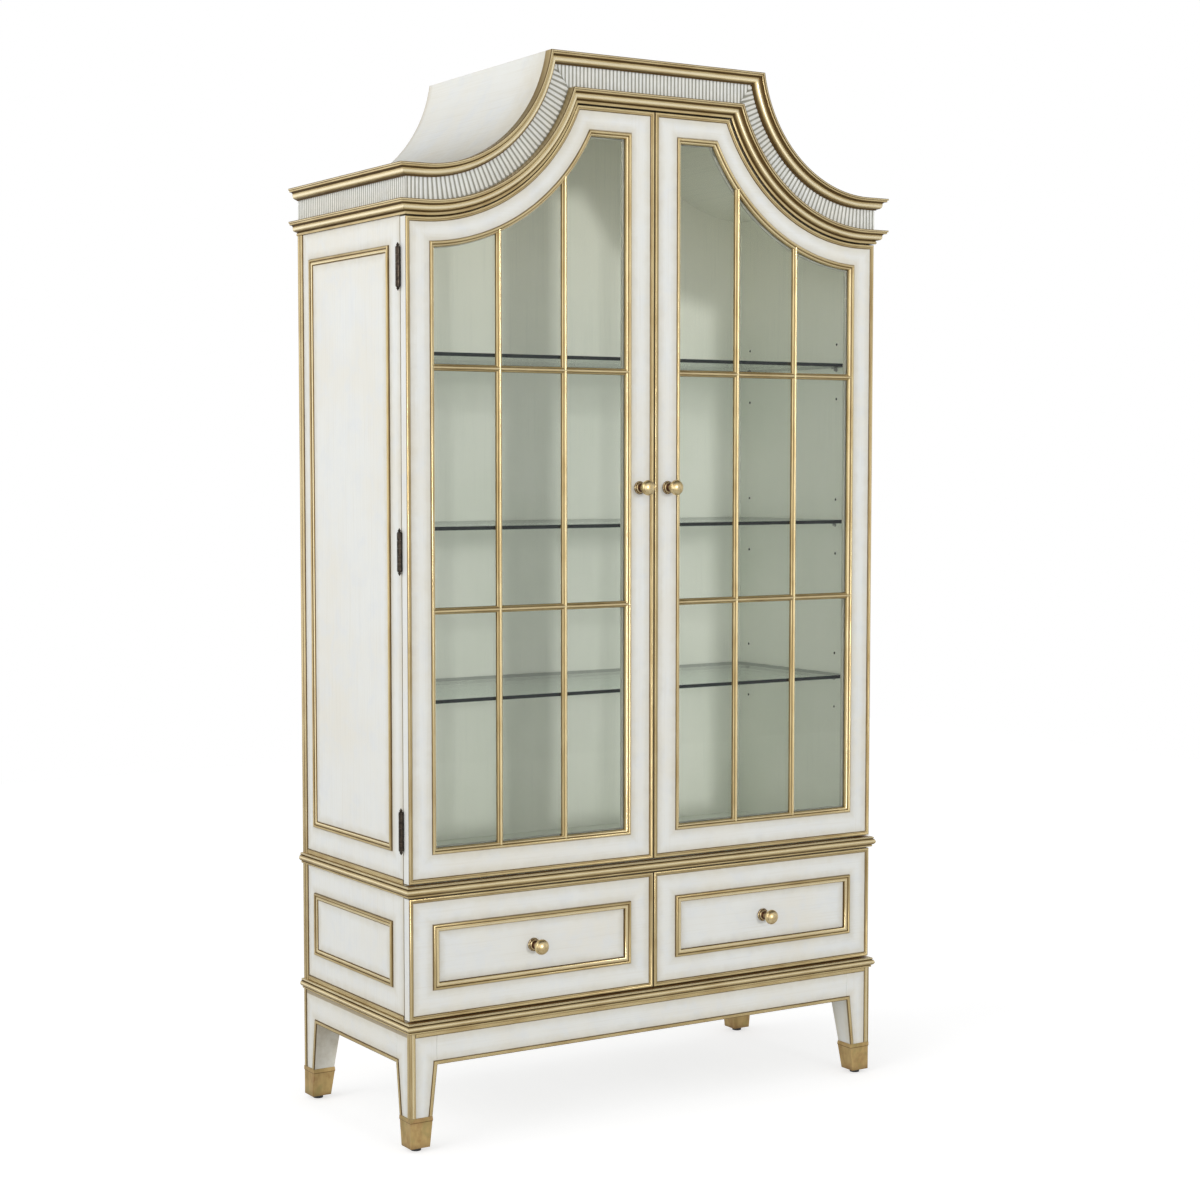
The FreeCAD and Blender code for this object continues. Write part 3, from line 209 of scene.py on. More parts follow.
def nose(first, second, bulge, glaze_and_light_values):
    """Profile points of a rounded nose between two (inset, height) points."""
    run = hypot(second[0] - first[0], second[1] - first[1])
    lift = ((first[1] - second[1]) / run, (second[0] - first[0]) / run)
    points = []
    for step, glaze in enumerate(glaze_and_light_values):
        t = step / (len(glaze_and_light_values) - 1)
        rise = bulge * sin(pi * t)
        points.append((first[0] + t * (second[0] - first[0]) + rise * lift[0],
                       first[1] + t * (second[1] - first[1]) + rise * lift[1], glaze))
    return points


def in_metres(profile):
    return [(a * MM, b * MM, glaze) for a, b, glaze in profile]


def straight(profile, start, end, across, away):
    """Straight run: the inset goes along across and the height along away."""
    rows = [[point + across * g + away * h for g, h, _ in profile] for point in (start, end)]
    return Strip(rows, glaze_and_light_of(profile))


def swept(profile, place, corners, closed=False):
    """Run through corners (u, v, du, dv): place(u, v, height) gives a point, (du, dv) where insets go."""
    rows = [[place(u + du * g, v + dv * g, h) for g, h, _ in profile] for u, v, du, dv in corners]
    return Strip(rows, glaze_and_light_of(profile), closed)


def framed(profile, place, u0, u1, v0, v1):
    """Mitred rectangle whose inset goes inwards."""
    corners = ((u0, v0, 1, 1), (u1, v0, -1, 1), (u1, v1, -1, -1), (u0, v1, 1, -1))
    return swept(profile, place, corners, True)


def from_columns(profile, columns, closed):
    """Strip from one line of points for each point of the profile."""
    return Strip([list(row) for row in zip(*columns)], glaze_and_light_of(profile), closed)


def arch_points(x0, x1, z0, depth, crown_depth):
    """Left door outline as (x, z): along the bottom, up the middle, along the crown, down the arc."""
    radius = ARC_R + depth
    start = asin(max(0, x0 + ARC_X) / radius)
    end = acos((ARC_Z - CROWN + crown_depth) / radius)
    points = [(x0, z0), (x1, z0), (x1, CROWN - crown_depth)]
    for step in range(ARC_STEPS + 1):
        angle = end + (start - end) * step / ARC_STEPS
        points.append((-ARC_X + radius * sin(angle), ARC_Z - radius * cos(angle)))
    if x0 < -ARC_X:
        points.append((x0, ARC_Z - radius))
    return points


def arched(profile, base_y, x0, x1, z0, depth, crown_depth):
    """Moulding round an arched outline; heights stand out from base_y towards the front."""
    columns = []
    for inset, height, _ in profile:
        outline = arch_points(x0 + inset, x1 - inset, z0 + inset, depth + inset, crown_depth + inset)
        columns.append([Vector((x, base_y - height, z)) for x, z in outline])
    return from_columns(profile, columns, True)


def crowned(profile):
    """Moulding over the pediment, from one rear corner to the other."""
    columns = []
    for depth, out, _ in profile:
        radius = ARC_R + depth
        end = acos((ARC_Z - CROWN + depth) / radius)
        half = [(-HALF - out, BACK, SHOULDER - depth), (-HALF - out, FRONT - out, SHOULDER - depth)]
        for step in range(ARC_STEPS + 1):
            angle = end * step / ARC_STEPS
            half.append((-ARC_X + radius * sin(angle), FRONT - out, ARC_Z - radius * cos(angle)))
        columns.append([Vector(p) for p in half] + [Vector((-x, y, z)) for x, y, z in reversed(half)])
    return from_columns(profile, columns, False)


def wrapped(profile, top):
    """Moulding round the front and both sides of the case, its top at the height top."""
    columns = []
    for drop, out, _ in profile:
        z = top - drop
        columns.append([Vector((-HALF - out, BACK, z)), Vector((-HALF - out, FRONT - out, z)),
                        Vector((HALF + out, FRONT - out, z)), Vector((HALF + out, BACK, z))])
    return from_columns(profile, columns, False)


def turned(profile, centre, axis, steps, lobes=0, lobe_depth=0, lobe_span=(0, 0)):
    """Turned shape: (distance along the axis, radius, glaze and painted light) about centre; lobes scallop a
    stretch of it.
    """
    side = axis.orthogonal().normalized()
    other = axis.cross(side)
    rows = []
    for step in range(steps):
        angle = 2 * pi * step / steps
        row = []
        for along, radius, _ in profile:
            grown = radius
            if lobes and lobe_span[0] <= along <= lobe_span[1]:
                grown = radius * (1 - lobe_depth * abs(sin(0.5 * lobes * angle)) ** 3)
            row.append(centre + axis * along + (side * cos(angle) + other * sin(angle)) * grown)
        rows.append(row)
    return Strip(rows, glaze_and_light_of(profile), True, False)


# ---- Shader building ----
def tint(red, green, blue):
    """Linear colour from display values between 0 and 255."""
    parts = []
    for value in (red, green, blue):
        share = value / 255
        parts.append(share / 12.92 if share <= 0.04045 else ((share + 0.055) / 1.055) ** 2.4)
    return (*parts, 1)


def operator(operation):
    """Method that joins a field and another value by one Math node."""
    return lambda self, other: self.shade.math(operation, self, other)


class Field:
    """Output of a shader node, on which arithmetic adds Math nodes."""

    def __init__(self, shade, socket):
        self.shade = shade
        self.socket = socket

    __add__ = operator("ADD")
    __sub__ = operator("SUBTRACT")
    __mul__ = operator("MULTIPLY")
    __rmul__ = __mul__

    def __rsub__(self, other):
        return self.shade.math("SUBTRACT", other, self)

    def __abs__(self):
        return self.shade.math("ABSOLUTE", self)


class Shade:
    """A material, or the world, whose methods add nodes and give back their outputs."""

    def __init__(self, name, owners=None):
        self.material = (bpy.data.materials if owners is None else owners).new(name)
        self.material.use_nodes = True
        self.tree = self.material.node_tree
        self.tree.nodes.clear()
        self.place = self.node("TexCoord", "Object")

    def node(self, kind, output, inputs=None, **settings):
        made = self.tree.nodes.new("ShaderNode" + kind)
        for key, value in settings.items():
            setattr(made, key, value)
        for key, value in (inputs or {}).items():
            self.feed(made.inputs[key], value)
        return Field(self, made.outputs[output])

    def feed(self, socket, value):
        if isinstance(value, Field):
            self.tree.links.new(value.socket, socket)
        else:
            socket.default_value = value

    def math(self, operation, first, second=0):
        return self.node("Math", 0, {0: first, 1: second}, operation=operation)

    def least(self, *values):
        return reduce(partial(self.math, "MINIMUM"), values)

    def most(self, *values):
        return reduce(partial(self.math, "MAXIMUM"), values)

    def ease(self, value, low, high, first=0, second=1):
        """Smooth step from first to second as value goes from low to high."""
        return self.node("MapRange", 0, {0: value, 1: low, 2: high, 3: first, 4: second},
                         interpolation_type="SMOOTHSTEP")

    def past(self, value, edge, low, high):
        """0 before and 1 past edge, between two offsets from it in millimetres."""
        return self.ease(value, edge + low * MM, edge + high * MM)

    def before(self, value, edge, low, high):
        """1 before and 0 past edge, in the same way."""
        return self.ease(value, edge + low * MM, edge + high * MM, 1, 0)

    def mix(self, factor, first, second):
        return self.node("Mix", 2, {0: factor, 6: first, 7: second}, data_type="RGBA")

    def glaze(self):
        """The value that the points of a modelled piece carry: above 0 glaze in the hollows and painted
        shade, below 0 a painted highlight.
        """
        return self.node("Attribute", "Fac", attribute_name="glaze")

    def noise(self, scale, detail=2, roughness=0.5, distortion=0, vector=None):
        """Noise over the object or a vector; scale is one number, or three for a stretch."""
        vector = vector or self.place
        if isinstance(scale, (list, tuple)):
            vector = self.node("VectorMath", 0, {0: vector, 1: scale}, operation="MULTIPLY")
            scale = 1
        return self.node("TexNoise", 0, {
            "Vector": vector, "Scale": scale, "Detail": detail, "Roughness": roughness,
            "Distortion": distortion})

    def axes(self, vector=None):
        split = self.node("SeparateXYZ", 0, {0: vector or self.place}).socket.node
        return [Field(self, output) for output in split.outputs]

    def bump(self, height, strength, relief):
        """Raised detail, its relief in millimetres."""
        return self.node("Bump", 0, {"Height": height, "Strength": strength, "Distance": relief * MM})

    def surface(self, colour, roughness, **inputs):
        """Principled surface; an argument such as normal feeds the socket Normal."""
        sockets = {"Base Color": colour, "Roughness": roughness}
        for key, value in inputs.items():
            sockets[key.title().replace("Specular", "Specular IOR Level")] = value
        return self.finish(self.node("BsdfPrincipled", 0, sockets))

    def finish(self, shader, kind="OutputMaterial"):
        output = self.tree.nodes.new("ShaderNode" + kind)
        self.feed(output.inputs["Surface"], shader)
        return self.material


# ---- Paint: brushed ivory with a brown glaze wiped towards the mouldings and painted shade at their feet ----
IVORY = tint(225, 226, 222)
IVORY_WARM = tint(224, 222, 213)
IVORY_COOL = tint(218, 221, 222)
STROKE = tint(204, 198, 182)
HALO = tint(192, 182, 156)
LINE = tint(140, 122, 86)
# Brown for the gaps round the doors and drawers: painted shade.
GAP_SHADE_BROWN = tint(150, 112, 62)
BORE_SHADE = tint(58, 54, 44)
SAGE = tint(240, 242, 230)
SAGE_DEEP = tint(232, 236, 222)
SAGE_PAINTED_LIGHT = tint(255, 255, 239)
STROKE_ACROSS = 260
STROKE_ALONG = 5


def strokes(shade, grain):
    """Fine brush marks that run along one axis."""
    stretch = [STROKE_ALONG if axis == grain else STROKE_ACROSS for axis in "xyz"]
    return shade.noise(stretch, 3, 0.6)


def outline_depth(shade):
    """How far a point lies under the outline of the pediment."""
    x, _, z = shade.axes()
    run = shade.most(ARC_X - abs(x), 0)
    rise = ARC_Z - z
    span = shade.math("SQRT", run * run + rise * rise)
    return shade.least(span - ARC_R, CROWN - z)


def door_gap(shade):
    """Distance from the beads of a door, for a point on its stiles and rails."""
    x, _, z = shade.axes()
    side = abs(x)
    depth = outline_depth(shade)
    edge = shade.least(HALF - EDGE_BEAD - side, side + (DOOR_HIGH.x - EDGE_BEAD),
                       z - (DOOR_LOW.z + EDGE_BEAD), depth - (DOOR_DEPTH + EDGE_BEAD))
    opening = shade.most(side + GLAZE_LOW.x, -GLAZE_HIGH.x - side, GLAZE_LOW.z - z, GLAZE_DEPTH - depth)
    return shade.least(edge, opening) + end_face(shade, side)


def end_face(shade, side):
    """1 on the outer ends of doors and drawers, which carry no glaze or painted shade, and 0 elsewhere."""
    return shade.past(side, HALF, -0.5, -0.3)


def framed_gap(shade, u, v, outer, panel):
    """Distance from an edge bead and from an applied rectangle; both are (u0, u1, v0, v1)."""
    edge = shade.least(u - outer[0], outer[1] - u, v - outer[2], outer[3] - v)
    inside = shade.least(u - panel[0], panel[1] - u, v - panel[2], panel[3] - v)
    around = shade.most(0 - inside, inside - PANEL_BEAD)
    return shade.least(edge, around)


def drawer_gap(shade):
    x, _, z = shade.axes()
    outer = (EDGE_BEAD - DRAWER_HIGH.x, HALF - EDGE_BEAD,
             DRAWER_LOW.z + EDGE_BEAD, DRAWER_HIGH.z - EDGE_BEAD)
    panel = (-GLAZE_HIGH.x, -GLAZE_LOW.x, *DRAWER_PANEL_Z)
    return framed_gap(shade, abs(x), z, outer, panel) + end_face(shade, abs(x))


def side_gap(low, high, panel_z):
    """Gap function of a side board between two heights."""

    def gap(shade):
        _, y, z = shade.axes()
        outer = (CASE_FRONT, BACK - 2 * BACK_BEAD, low + FOOT_STRIP, high)
        return framed_gap(shade, y, z, outer, (*SIDE_PANEL_Y, *panel_z))

    return gap


# Distance for the roof's brown halo and line: small near the front and rear edges, and towards the low end by
# the shoulder, where the darkening is painted shade.
def roof_gap(shade):
    _, y, z = shade.axes()
    return shade.least((y - (FRONT - OVERHANG)) * 0.16, BACK - y, (z - SHOULDER) * 0.17)


def base_gap(shade):
    """Distance from the beads of the legs and aprons, on the front and on the sides."""
    x, y, z = shade.axes()
    top = PLINTH_LOW.z - APRON_BEAD - z
    found = []
    for u, half, wide, narrow in ((abs(x), HALF, LEG_WIDE, FOOT_WIDE),
                                  (abs(y - MIDDLE_Y), HALF_DEEP, LEG_DEEP, FOOT_DEEP)):
        slope = (wide - narrow) / (APRON_LOW - FOOT_Z)
        edge = shade.most(APRON_LOW - z, 0) * slope + (half - wide)
        portal_gap = shade.most(z - APRON_LOW, u - edge) - LEG_BEAD
        found.append(shade.least(top, half - CORNER_BEAD - u, portal_gap))
    front = shade.before(y, FRONT, 0.5, 0.7)
    # Offset on faces without beads: on the inner faces of legs and aprons, part of the halo stays as painted
    # shade; on the rear faces none stays.
    shade_offset = (shade.ease(abs(x), HALF - 1.4 * MM, HALF - 1.2 * MM, 9 * MM, 0)
              + shade.ease(y, BACK - 1.4 * MM, BACK - 1.2 * MM, 0, 30 * MM))
    return found[0] * front + (found[1] + shade_offset) * (1 - front)


def ivory_colour(shade, brushed, gap):
    """Ivory, warmer and cooler in patches, with a brown line and halo where gap is small: glaze wiped towards
    the mouldings, and painted shade at their feet.
    """
    patch = shade.noise(4.5, 3, 0.55)
    cloud = shade.noise(19, 3, 0.6, 0.4)
    colour = shade.mix(shade.ease(patch, 0.35, 0.68), IVORY, IVORY_WARM)
    colour = shade.mix(shade.ease(cloud, 0.42, 0.75, 0, 0.6), colour, IVORY_COOL)
    colour = shade.mix(shade.ease(brushed, 0.45, 0.8, 0, 0.22), colour, STROKE)
    if gap:
        distance = gap(shade)
        wipe = shade.noise(38, 3, 0.65)
        # Halo and line by the beads: partly glaze, partly painted shade where the beads meet the flat.
        reach = shade.ease(distance + wipe * (-16 * MM), -10 * MM, 13 * MM, 0.44, 0)
        colour = shade.mix(reach, colour, HALO)
        colour = shade.mix(
            shade.ease(distance + wipe * (-1.4 * MM), -0.6 * MM, 1.2 * MM, 0.75, 0), colour, LINE)
    return colour


def sage_colour(shade, brushed):
    """Sage green, paler and warmer towards the top of the cabinet: painted light where the inside of the roof
    gets little light.
    """
    patch = shade.noise(3.2, 3, 0.55)
    _, _, z = shade.axes()
    colour = shade.mix(shade.ease(patch, 0.3, 0.72), SAGE, SAGE_DEEP)
    colour = shade.mix(shade.ease(z, 1.5, 2, 0, 0.9), colour, SAGE_PAINTED_LIGHT)
    return shade.mix(shade.ease(brushed, 0.45, 0.8, 0, 0.18), colour, tint(204, 211, 200))


def painted(name, grain, gap=None, inside=None, darkened=None, dark_tone=GAP_SHADE_BROWN):
    """Ivory paint, sage green where inside(shade) is 1, and darkened by the last two arguments: painted shade
    in gaps and holes, or a darker tone of the piece.
    """
    shade = Shade(name)
    brushed = strokes(shade, grain)
    colour = ivory_colour(shade, brushed, gap)
    if inside:
        colour = shade.mix(inside(shade), colour, sage_colour(shade, brushed))
    if darkened:
        colour = shade.mix(darkened(shade), colour, dark_tone)
    fine = shade.noise(900)
    height = brushed * 0.8 + fine * 0.2
    return shade.surface(
        colour, shade.ease(brushed, 0.2, 0.8, 0.4, 0.58), normal=shade.bump(height, 0.22, 0.3),
        specular=0.4)


def before_back(shade):
    """1 everywhere but on the rear edges of the boards, which are left ivory."""
    _, y, _ = shade.axes()
    return shade.before(y, BACK, -0.6, -0.4)


def side_inside(shade):
    x, y, _ = shade.axes()
    across = shade.before(abs(x), HALF, -6.2, -6)
    return across * shade.past(y, CASE_FRONT, 0.8, 1.2) * before_back(shade)


def side_bore_shade(shade):
    """The walls of the shelf pin holes, darkened: painted shade in the holes."""
    x, y, _ = shade.axes()
    deep = shade.past(abs(x), INNER, 0.2, 0.5)
    rows = [shade.ease(abs(y - row), 3.6 * MM, 3.8 * MM, 1, 0) for row in PIN_ROWS]
    return deep * (rows[0] + rows[1]) * shade.before(abs(x), HALF, -6.2, -6)


def back_inside(shade):
    _, y, _ = shade.axes()
    return shade.before(y, BACK_PANEL, 4, 4.2)


def deck_inside(shade):
    _, y, z = shade.axes()
    top = shade.past(z, DECK_HIGH.z, -1.4, -1.2)
    return top * shade.ease(y, CASE_FRONT - 0.2 * MM, CASE_FRONT)


def roof_inside(shade):
    return shade.ease(outline_depth(shade), 0.55 * ROOF, 0.6 * ROOF) * before_back(shade)


def header_inside(shade):
    _, y, _ = shade.axes()
    return shade.past(y, CASE_FRONT, 0.8, 1.2)


def ledge_gap_shade(top):
    """Brown on the ledge behind the waist or base moulding, under the doors or drawers: painted shade in the
    gap.
    """

    def darkened(shade):
        _, y, z = shade.axes()
        return shade.before(y, FRONT, 12, 20) * shade.past(z, top, -1, 0)

    return darkened


def header_gap_shade(shade):
    """Brown in the gap over the doors: painted shade."""
    return shade.before(outline_depth(shade), DOOR_DEPTH, 2, 5)


def fluted_paint():
    """Frieze ribs: ivory crests, grey green in the flutes (glaze, and painted shade in the hollows), sage
    inside the cabinet.
    """
    shade = Shade("frieze_paint")
    glaze = shade.glaze()
    wipe = shade.noise(60, 3, 0.6)
    colour = ivory_colour(shade, strokes(shade, "z"), None)
    amount = shade.ease(glaze + wipe * 0.2, 0.42, 1.08, 0, 0.9)
    colour = shade.mix(amount, shade.mix(0.35 * shade.ease(wipe, 0.2, 0.6), colour, tint(206, 207, 200)),
                       tint(128, 126, 112))
    colour = shade.mix(side_inside(shade), colour, sage_colour(shade, strokes(shade, "z")))
    return shade.surface(colour, 0.5, specular=0.4)


# ---- Gilding: champagne gold, brown where the value is above 0 (glaze in the hollows, painted shade under noses and in grooves) and a painted highlight where it is below 0 ----
GOLD_PAINTED_HIGHLIGHT = tint(250, 236, 198)
GOLD_LIGHT = tint(222, 202, 152)
GOLD = tint(200, 174, 118)
GOLD_DEEP = tint(170, 139, 82)
GLAZE_AND_SHADE_BROWN = tint(90, 65, 24)


def gilding():
    shade = Shade("gold_mouldings")
    glaze = shade.glaze()
    run = shade.node("UVMap", "UV", uv_map="run")
    streak = shade.noise((9, 950, 1), 3, 0.6, vector=run)
    leaf = shade.noise((14, 260, 1), 3, 0.6, vector=run)
    patch = shade.noise(9, 3, 0.6)
    colour = shade.mix(shade.ease(leaf, 0.35, 0.75, 0, 0.75), GOLD_LIGHT, GOLD)
    colour = shade.mix(shade.ease(patch, 0.42, 0.7, 0, 0.45), colour, GOLD_DEEP)
    # Painted highlight: the gold is lightened where the value is below 0, on the upper halves of noses and on
    # crests.
    colour = shade.mix(shade.ease(glaze, -0.6, 0, 1, 0), colour, GOLD_PAINTED_HIGHLIGHT)
    # Brown where the value is above 0: glaze in the hollows, and painted shade under the noses and in the
    # grooves.
    dark = shade.ease(glaze + streak * 0.16 + leaf * 0.1, 0.08, 1, 0, 0.96)
    colour = shade.mix(dark, colour, GLAZE_AND_SHADE_BROWN)
    height = streak * 0.5 + leaf * 0.5
    return shade.surface(
        colour, shade.ease(glaze + leaf * 0.3, 0.1, 1.1, 0.26, 0.6), metallic=0.65,
        normal=shade.bump(height, 0.1, 0.2))


def cap_gilding():
    """Gilt foot caps, rubbed through to red brown, with no moulding coordinates to follow."""
    shade = Shade("cap_gilding")
    red = shade.noise(42, 3, 0.6)
    leaf = shade.noise((70, 70, 24), 3, 0.6)
    _, _, z = shade.axes()
    colour = shade.mix(shade.ease(leaf, 0.3, 0.8), tint(196, 168, 112), tint(170, 140, 88))
    colour = shade.mix(shade.ease(red, 0.45, 0.75, 0, 0.5), colour, tint(146, 100, 62))
    green = shade.noise(30, 2, 0.5, 0.6)
    colour = shade.mix(shade.ease(green, 0.48, 0.72, 0, 0.45), colour, tint(146, 138, 84))
    seam = abs(z - (CAP_END - 9.3 * MM))
    colour = shade.mix(shade.ease(seam, 0, 1.6 * MM, 0.9, 0), colour, GLAZE_AND_SHADE_BROWN)
    low = shade.ease(z + leaf * 12 * MM, 8 * MM, 26 * MM, 0.7, 0)
    colour = shade.mix(low, colour, tint(110, 80, 48))
    return shade.surface(
        colour, shade.ease(leaf, 0.3, 0.7, 0.3, 0.5), metallic=0.5, normal=shade.bump(leaf, 0.12, 0.2))


# ---- Metal, glass, wood and plastic ----
def aged_brass():
    shade = Shade("knob_brass")
    glaze = shade.glaze()
    cloud = shade.noise(120, 4, 0.6)
    colour = shade.mix(shade.ease(cloud, 0.35, 0.7), tint(232, 212, 164), tint(200, 174, 124))
    # Brown where the value is high: patina in the hollows of the rosette and neck, and painted shade in the
    # ring on the head.
    colour = shade.mix(shade.ease(glaze + cloud * 0.4, 0.3, 1), colour, tint(84, 52, 34))
    return shade.surface(
        colour, shade.ease(cloud, 0.3, 0.75, 0.24, 0.42), metallic=0.85, normal=shade.bump(cloud, 0.1, 0.2))


def speckled(name, grain, span, colours, gloss, relief=None, **settings):
    """Plain material whose colour and roughness follow one noise."""
    shade = Shade(name)
    speck = shade.noise(*grain)
    colour = shade.mix(shade.ease(speck, *span), *colours)
    if relief:
        settings["normal"] = shade.bump(speck, *relief)
    return shade.surface(colour, shade.ease(speck, *gloss), **settings)


def pane(shade, reflection, tone, gloss_tone, film, **gloss):
    """Clear glass, whose reflection rises between two shares as it is seen along its surface."""
    straight_on, edge_on = reflection
    facing = shade.node("LayerWeight", "Facing", {"Blend": 0.5})
    square = facing * facing
    share = square * square * facing * (edge_on - straight_on) + straight_on
    through = shade.node("BsdfTransparent", 0, {"Color": (*tone, 1)})
    shine = shade.node("BsdfGlossy", 0, {"Color": (*gloss_tone, 1), "Roughness": film, **gloss})
    return shade.node("MixShader", 0, {0: share, 1: through, 2: shine})


def clear_glass():
    """Door glass: clear, with a faint wave in its reflections."""
    shade = Shade("door_glass")
    normal = shade.bump(shade.noise(2.6), 0.12, 4)
    film = shade.ease(shade.noise(22, 3), 0.3, 0.8, 0.01, 0.035)
    return shade.finish(pane(
        shade, (0.043, 0.75), (0.984, 0.99, 0.986), (0.95, 0.97, 0.97), film, Normal=normal))


def shelf_glass():
    """Plate glass: clear through its faces, deep green along its polished edges."""
    shade = Shade("shelf_glass")
    _, _, up = shade.axes(shade.node("TexCoord", "Normal"))
    edge = shade.ease(abs(up), 0.25, 0.75, 1, 0)
    tone = shade.noise((3, 3, 420))
    deep = shade.mix(shade.ease(tone, 0.35, 0.7), tint(6, 14, 13), tint(16, 30, 28))
    face = pane(shade, (0.04, 0.8), (0.945, 0.97, 0.958), (0.96, 0.98, 0.97),
                shade.ease(tone, 0.3, 0.8, 0.01, 0.03))
    rim = shade.node("BsdfPrincipled", 0, {"Base Color": deep, "Roughness": 0.3, "Specular IOR Level": 0.08})
    return shade.finish(shade.node("MixShader", 0, {0: edge, 1: face, 2: rim}))


def timber(shade, lanes, fibre, warp, rings, contrast, light, dark, pore_colour):
    """Colour of planed timber, and the noise of its pores."""
    figure = shade.noise(lanes, 4, 0.55, warp)
    pore = shade.noise(fibre, 3, 0.6)
    wave = shade.node("Math", 0, {0: figure * rings}, operation="SINE")
    colour = shade.mix(shade.ease(wave, -1, 1, 0.1, contrast), tint(*light), tint(*dark))
    return shade.mix(shade.ease(pore, 0.5, 0.8, 0, 0.5), colour, tint(*pore_colour)), pore


def drawer_wood():
    """Plain planed timber with its grain from front to back."""
    shade = Shade("drawer_sides_wood")
    colour, pore = timber(
        shade, (26, 1.3, 26), (620, 9, 620), 1.1, 34, 0.75, (222, 198, 158), (200, 170, 126),
        (132, 100, 66))
    return shade.surface(
        colour, shade.ease(pore, 0.3, 0.8, 0.5, 0.68), normal=shade.bump(pore, 0.3, 0.2), specular=0.3)


def back_panel():
    """Plywood back: sage inside the cabinet, bare wood outside."""
    shade = Shade("back_panel")
    brushed = strokes(shade, "z")
    bare, _ = timber(
        shade, (14, 14, 0.9), (420, 420, 6), 0.9, 30, 0.8, (206, 180, 140), (184, 152, 108), (140, 108, 72))
    colour = shade.mix(back_inside(shade), bare, sage_colour(shade, brushed))
    return shade.surface(
        colour, shade.ease(brushed, 0.2, 0.8, 0.45, 0.62), normal=shade.bump(brushed, 0.2, 0.25),
        specular=0.35)


SAGE_BEAD = painted("sage_bead", "z", None, lambda shade: 1, lambda shade: 0.45, tint(92, 88, 66))
FRIEZE_PAINT = fluted_paint()
GILT = gilding()
BRASS = aged_brass()
BRONZE = speckled(
    "dark_bronze", (160, 4, 0.65), (0.35, 0.7), (tint(70, 60, 50), tint(32, 28, 24)),
    (0.3, 0.75, 0.28, 0.46), (0.12, 0.2), metallic=0.8)
NICKEL = speckled(
    "pin_metal", ((60, 900, 900),), (0.3, 0.7), (tint(196, 196, 194), tint(158, 158, 156)),
    (0.3, 0.7, 0.24, 0.36), metallic=0.9)

# ---- Cornices and frieze ----
OUT = OVERHANG / MM


# Third numbers in the profiles: above 0 glaze and painted shade (under the nose, in grooves, on the tail
# under the lower cornice), below 0 a painted highlight.
def cornice_profile(start, nose_end, tail):
    """Fillets, a groove and a rounded nose, from the depth start downwards."""
    steps = [
        (0, 0, 0.5), (0, OUT - 3, 0.3), (0, OUT - 0.8, 0.9), (0, OUT, 1), (1, OUT, 1), (1.4, OUT, -0.3),
        (3.4, OUT, -0.2), (3.6, OUT - 0.3, 0.9), (4, OUT - 2.4, 0.8), (4.5, OUT - 2.4, -0.2),
        (7, OUT - 2.4, 0.1), (7.4, OUT - 2.6, 0.7), (8, OUT - 7.5, 0.9), (10.4, OUT - 9.6, 0.9)]
    steps += nose((10.4, 13), nose_end, 4.2, (0.5, -0.1, -0.5, -0.6, -0.3, 0.15, 0.4, 0.6, 0.75, 0.85))
    return in_metres([(start + depth, out, glaze) for depth, out, glaze in steps + tail])


UPPER_PROFILE = cornice_profile(0, (23.6, 3.2), [(25, 3.2, 0.9), (25, 0, 1)])
LOWER_PROFILE = cornice_profile(FRIEZE_END / MM, (22, 4.4), [
    (23, 2.6, 0.8), (24, 2.6, 0.6), (24.6, 4, 0.2), (28.6, 4, 0.1), (29.4, 3.4, 0.7), (29.6, 0, 1)])
gild("cornice_upper", [crowned(UPPER_PROFILE)], "case", "upper_cornice_front", "cornice_returns")
gild("cornice_lower", [crowned(LOWER_PROFILE)], "case", "lower_cornice_front")

FLUTE_PITCH = 9.1 * MM
FLUTE_DEEP = 1.7 * MM
FLUTE_SAMPLES = 10
FLUTE_SHARPNESS = 1.25
FLUTE_STOP = 4 * MM
FLUTE_DEPTHS = (
    ROOF, UPPER_CORNICE + FLUTE_STOP, FRIEZE_END - FLUTE_STOP, FRIEZE_END - 1 * MM, CORNICE_END)


def flute_strip(start, end, place, thick, lowest=lambda s: CORNICE_END):
    """Ribbed band from start to end; place(s, depth, out) gives a point, thick(s) its thickness and
    lowest(s) the depth at which it ends."""
    count = max(1, round((end - start) / FLUTE_PITCH))
    total = count * FLUTE_SAMPLES
    rows, glaze_and_light_values = [], []
    for n in range(total + 1):
        s = start + (end - start) * n / total
        low = min(max(lowest(s), ROOF), CORNICE_END)
        groove = (0.5 - 0.5 * cos(2 * pi * (n / FLUTE_SAMPLES))) ** FLUTE_SHARPNESS
        row, glaze = [], []
        for depth in FLUTE_DEPTHS:
            fluted = groove if UPPER_CORNICE <= depth < FRIEZE_END - 0.5 * MM else 0
            row.append(place(s, min(depth, low), -FLUTE_DEEP * fluted))
            # Darker by the depth of the flute, and more at the foot over the lower cornice: glaze with
            # painted shade in the hollows and the crease.
            glaze.append(groove + (0.6 if depth > FRIEZE_END - 2 * MM else 0))
        rows.append(row + [place(s, low, -thick(s)), place(s, ROOF, -thick(s))])
        glaze_and_light_values.append(glaze + [1, 1])
    return Strip(rows, glaze_and_light_values)


def level_place(height):
    """Place function of a straight band across the front, its top at this height."""
    return lambda s, depth, out: Vector((s, FRONT - out, height - depth))


def curve_place(s, depth, out):
    radius = ARC_R + depth
    return Vector((-ARC_X + radius * sin(s / ARC_R), FRONT - out, ARC_Z - radius * cos(s / ARC_R)))


def curve_lowest(s):
    """The curve's ribs stop at the mitre with the crown."""
    cosine = cos(s / ARC_R)
    return (ARC_R * cosine - (ARC_Z - CROWN)) / (1 - cosine) if cosine < 0.999 else CORNICE_END


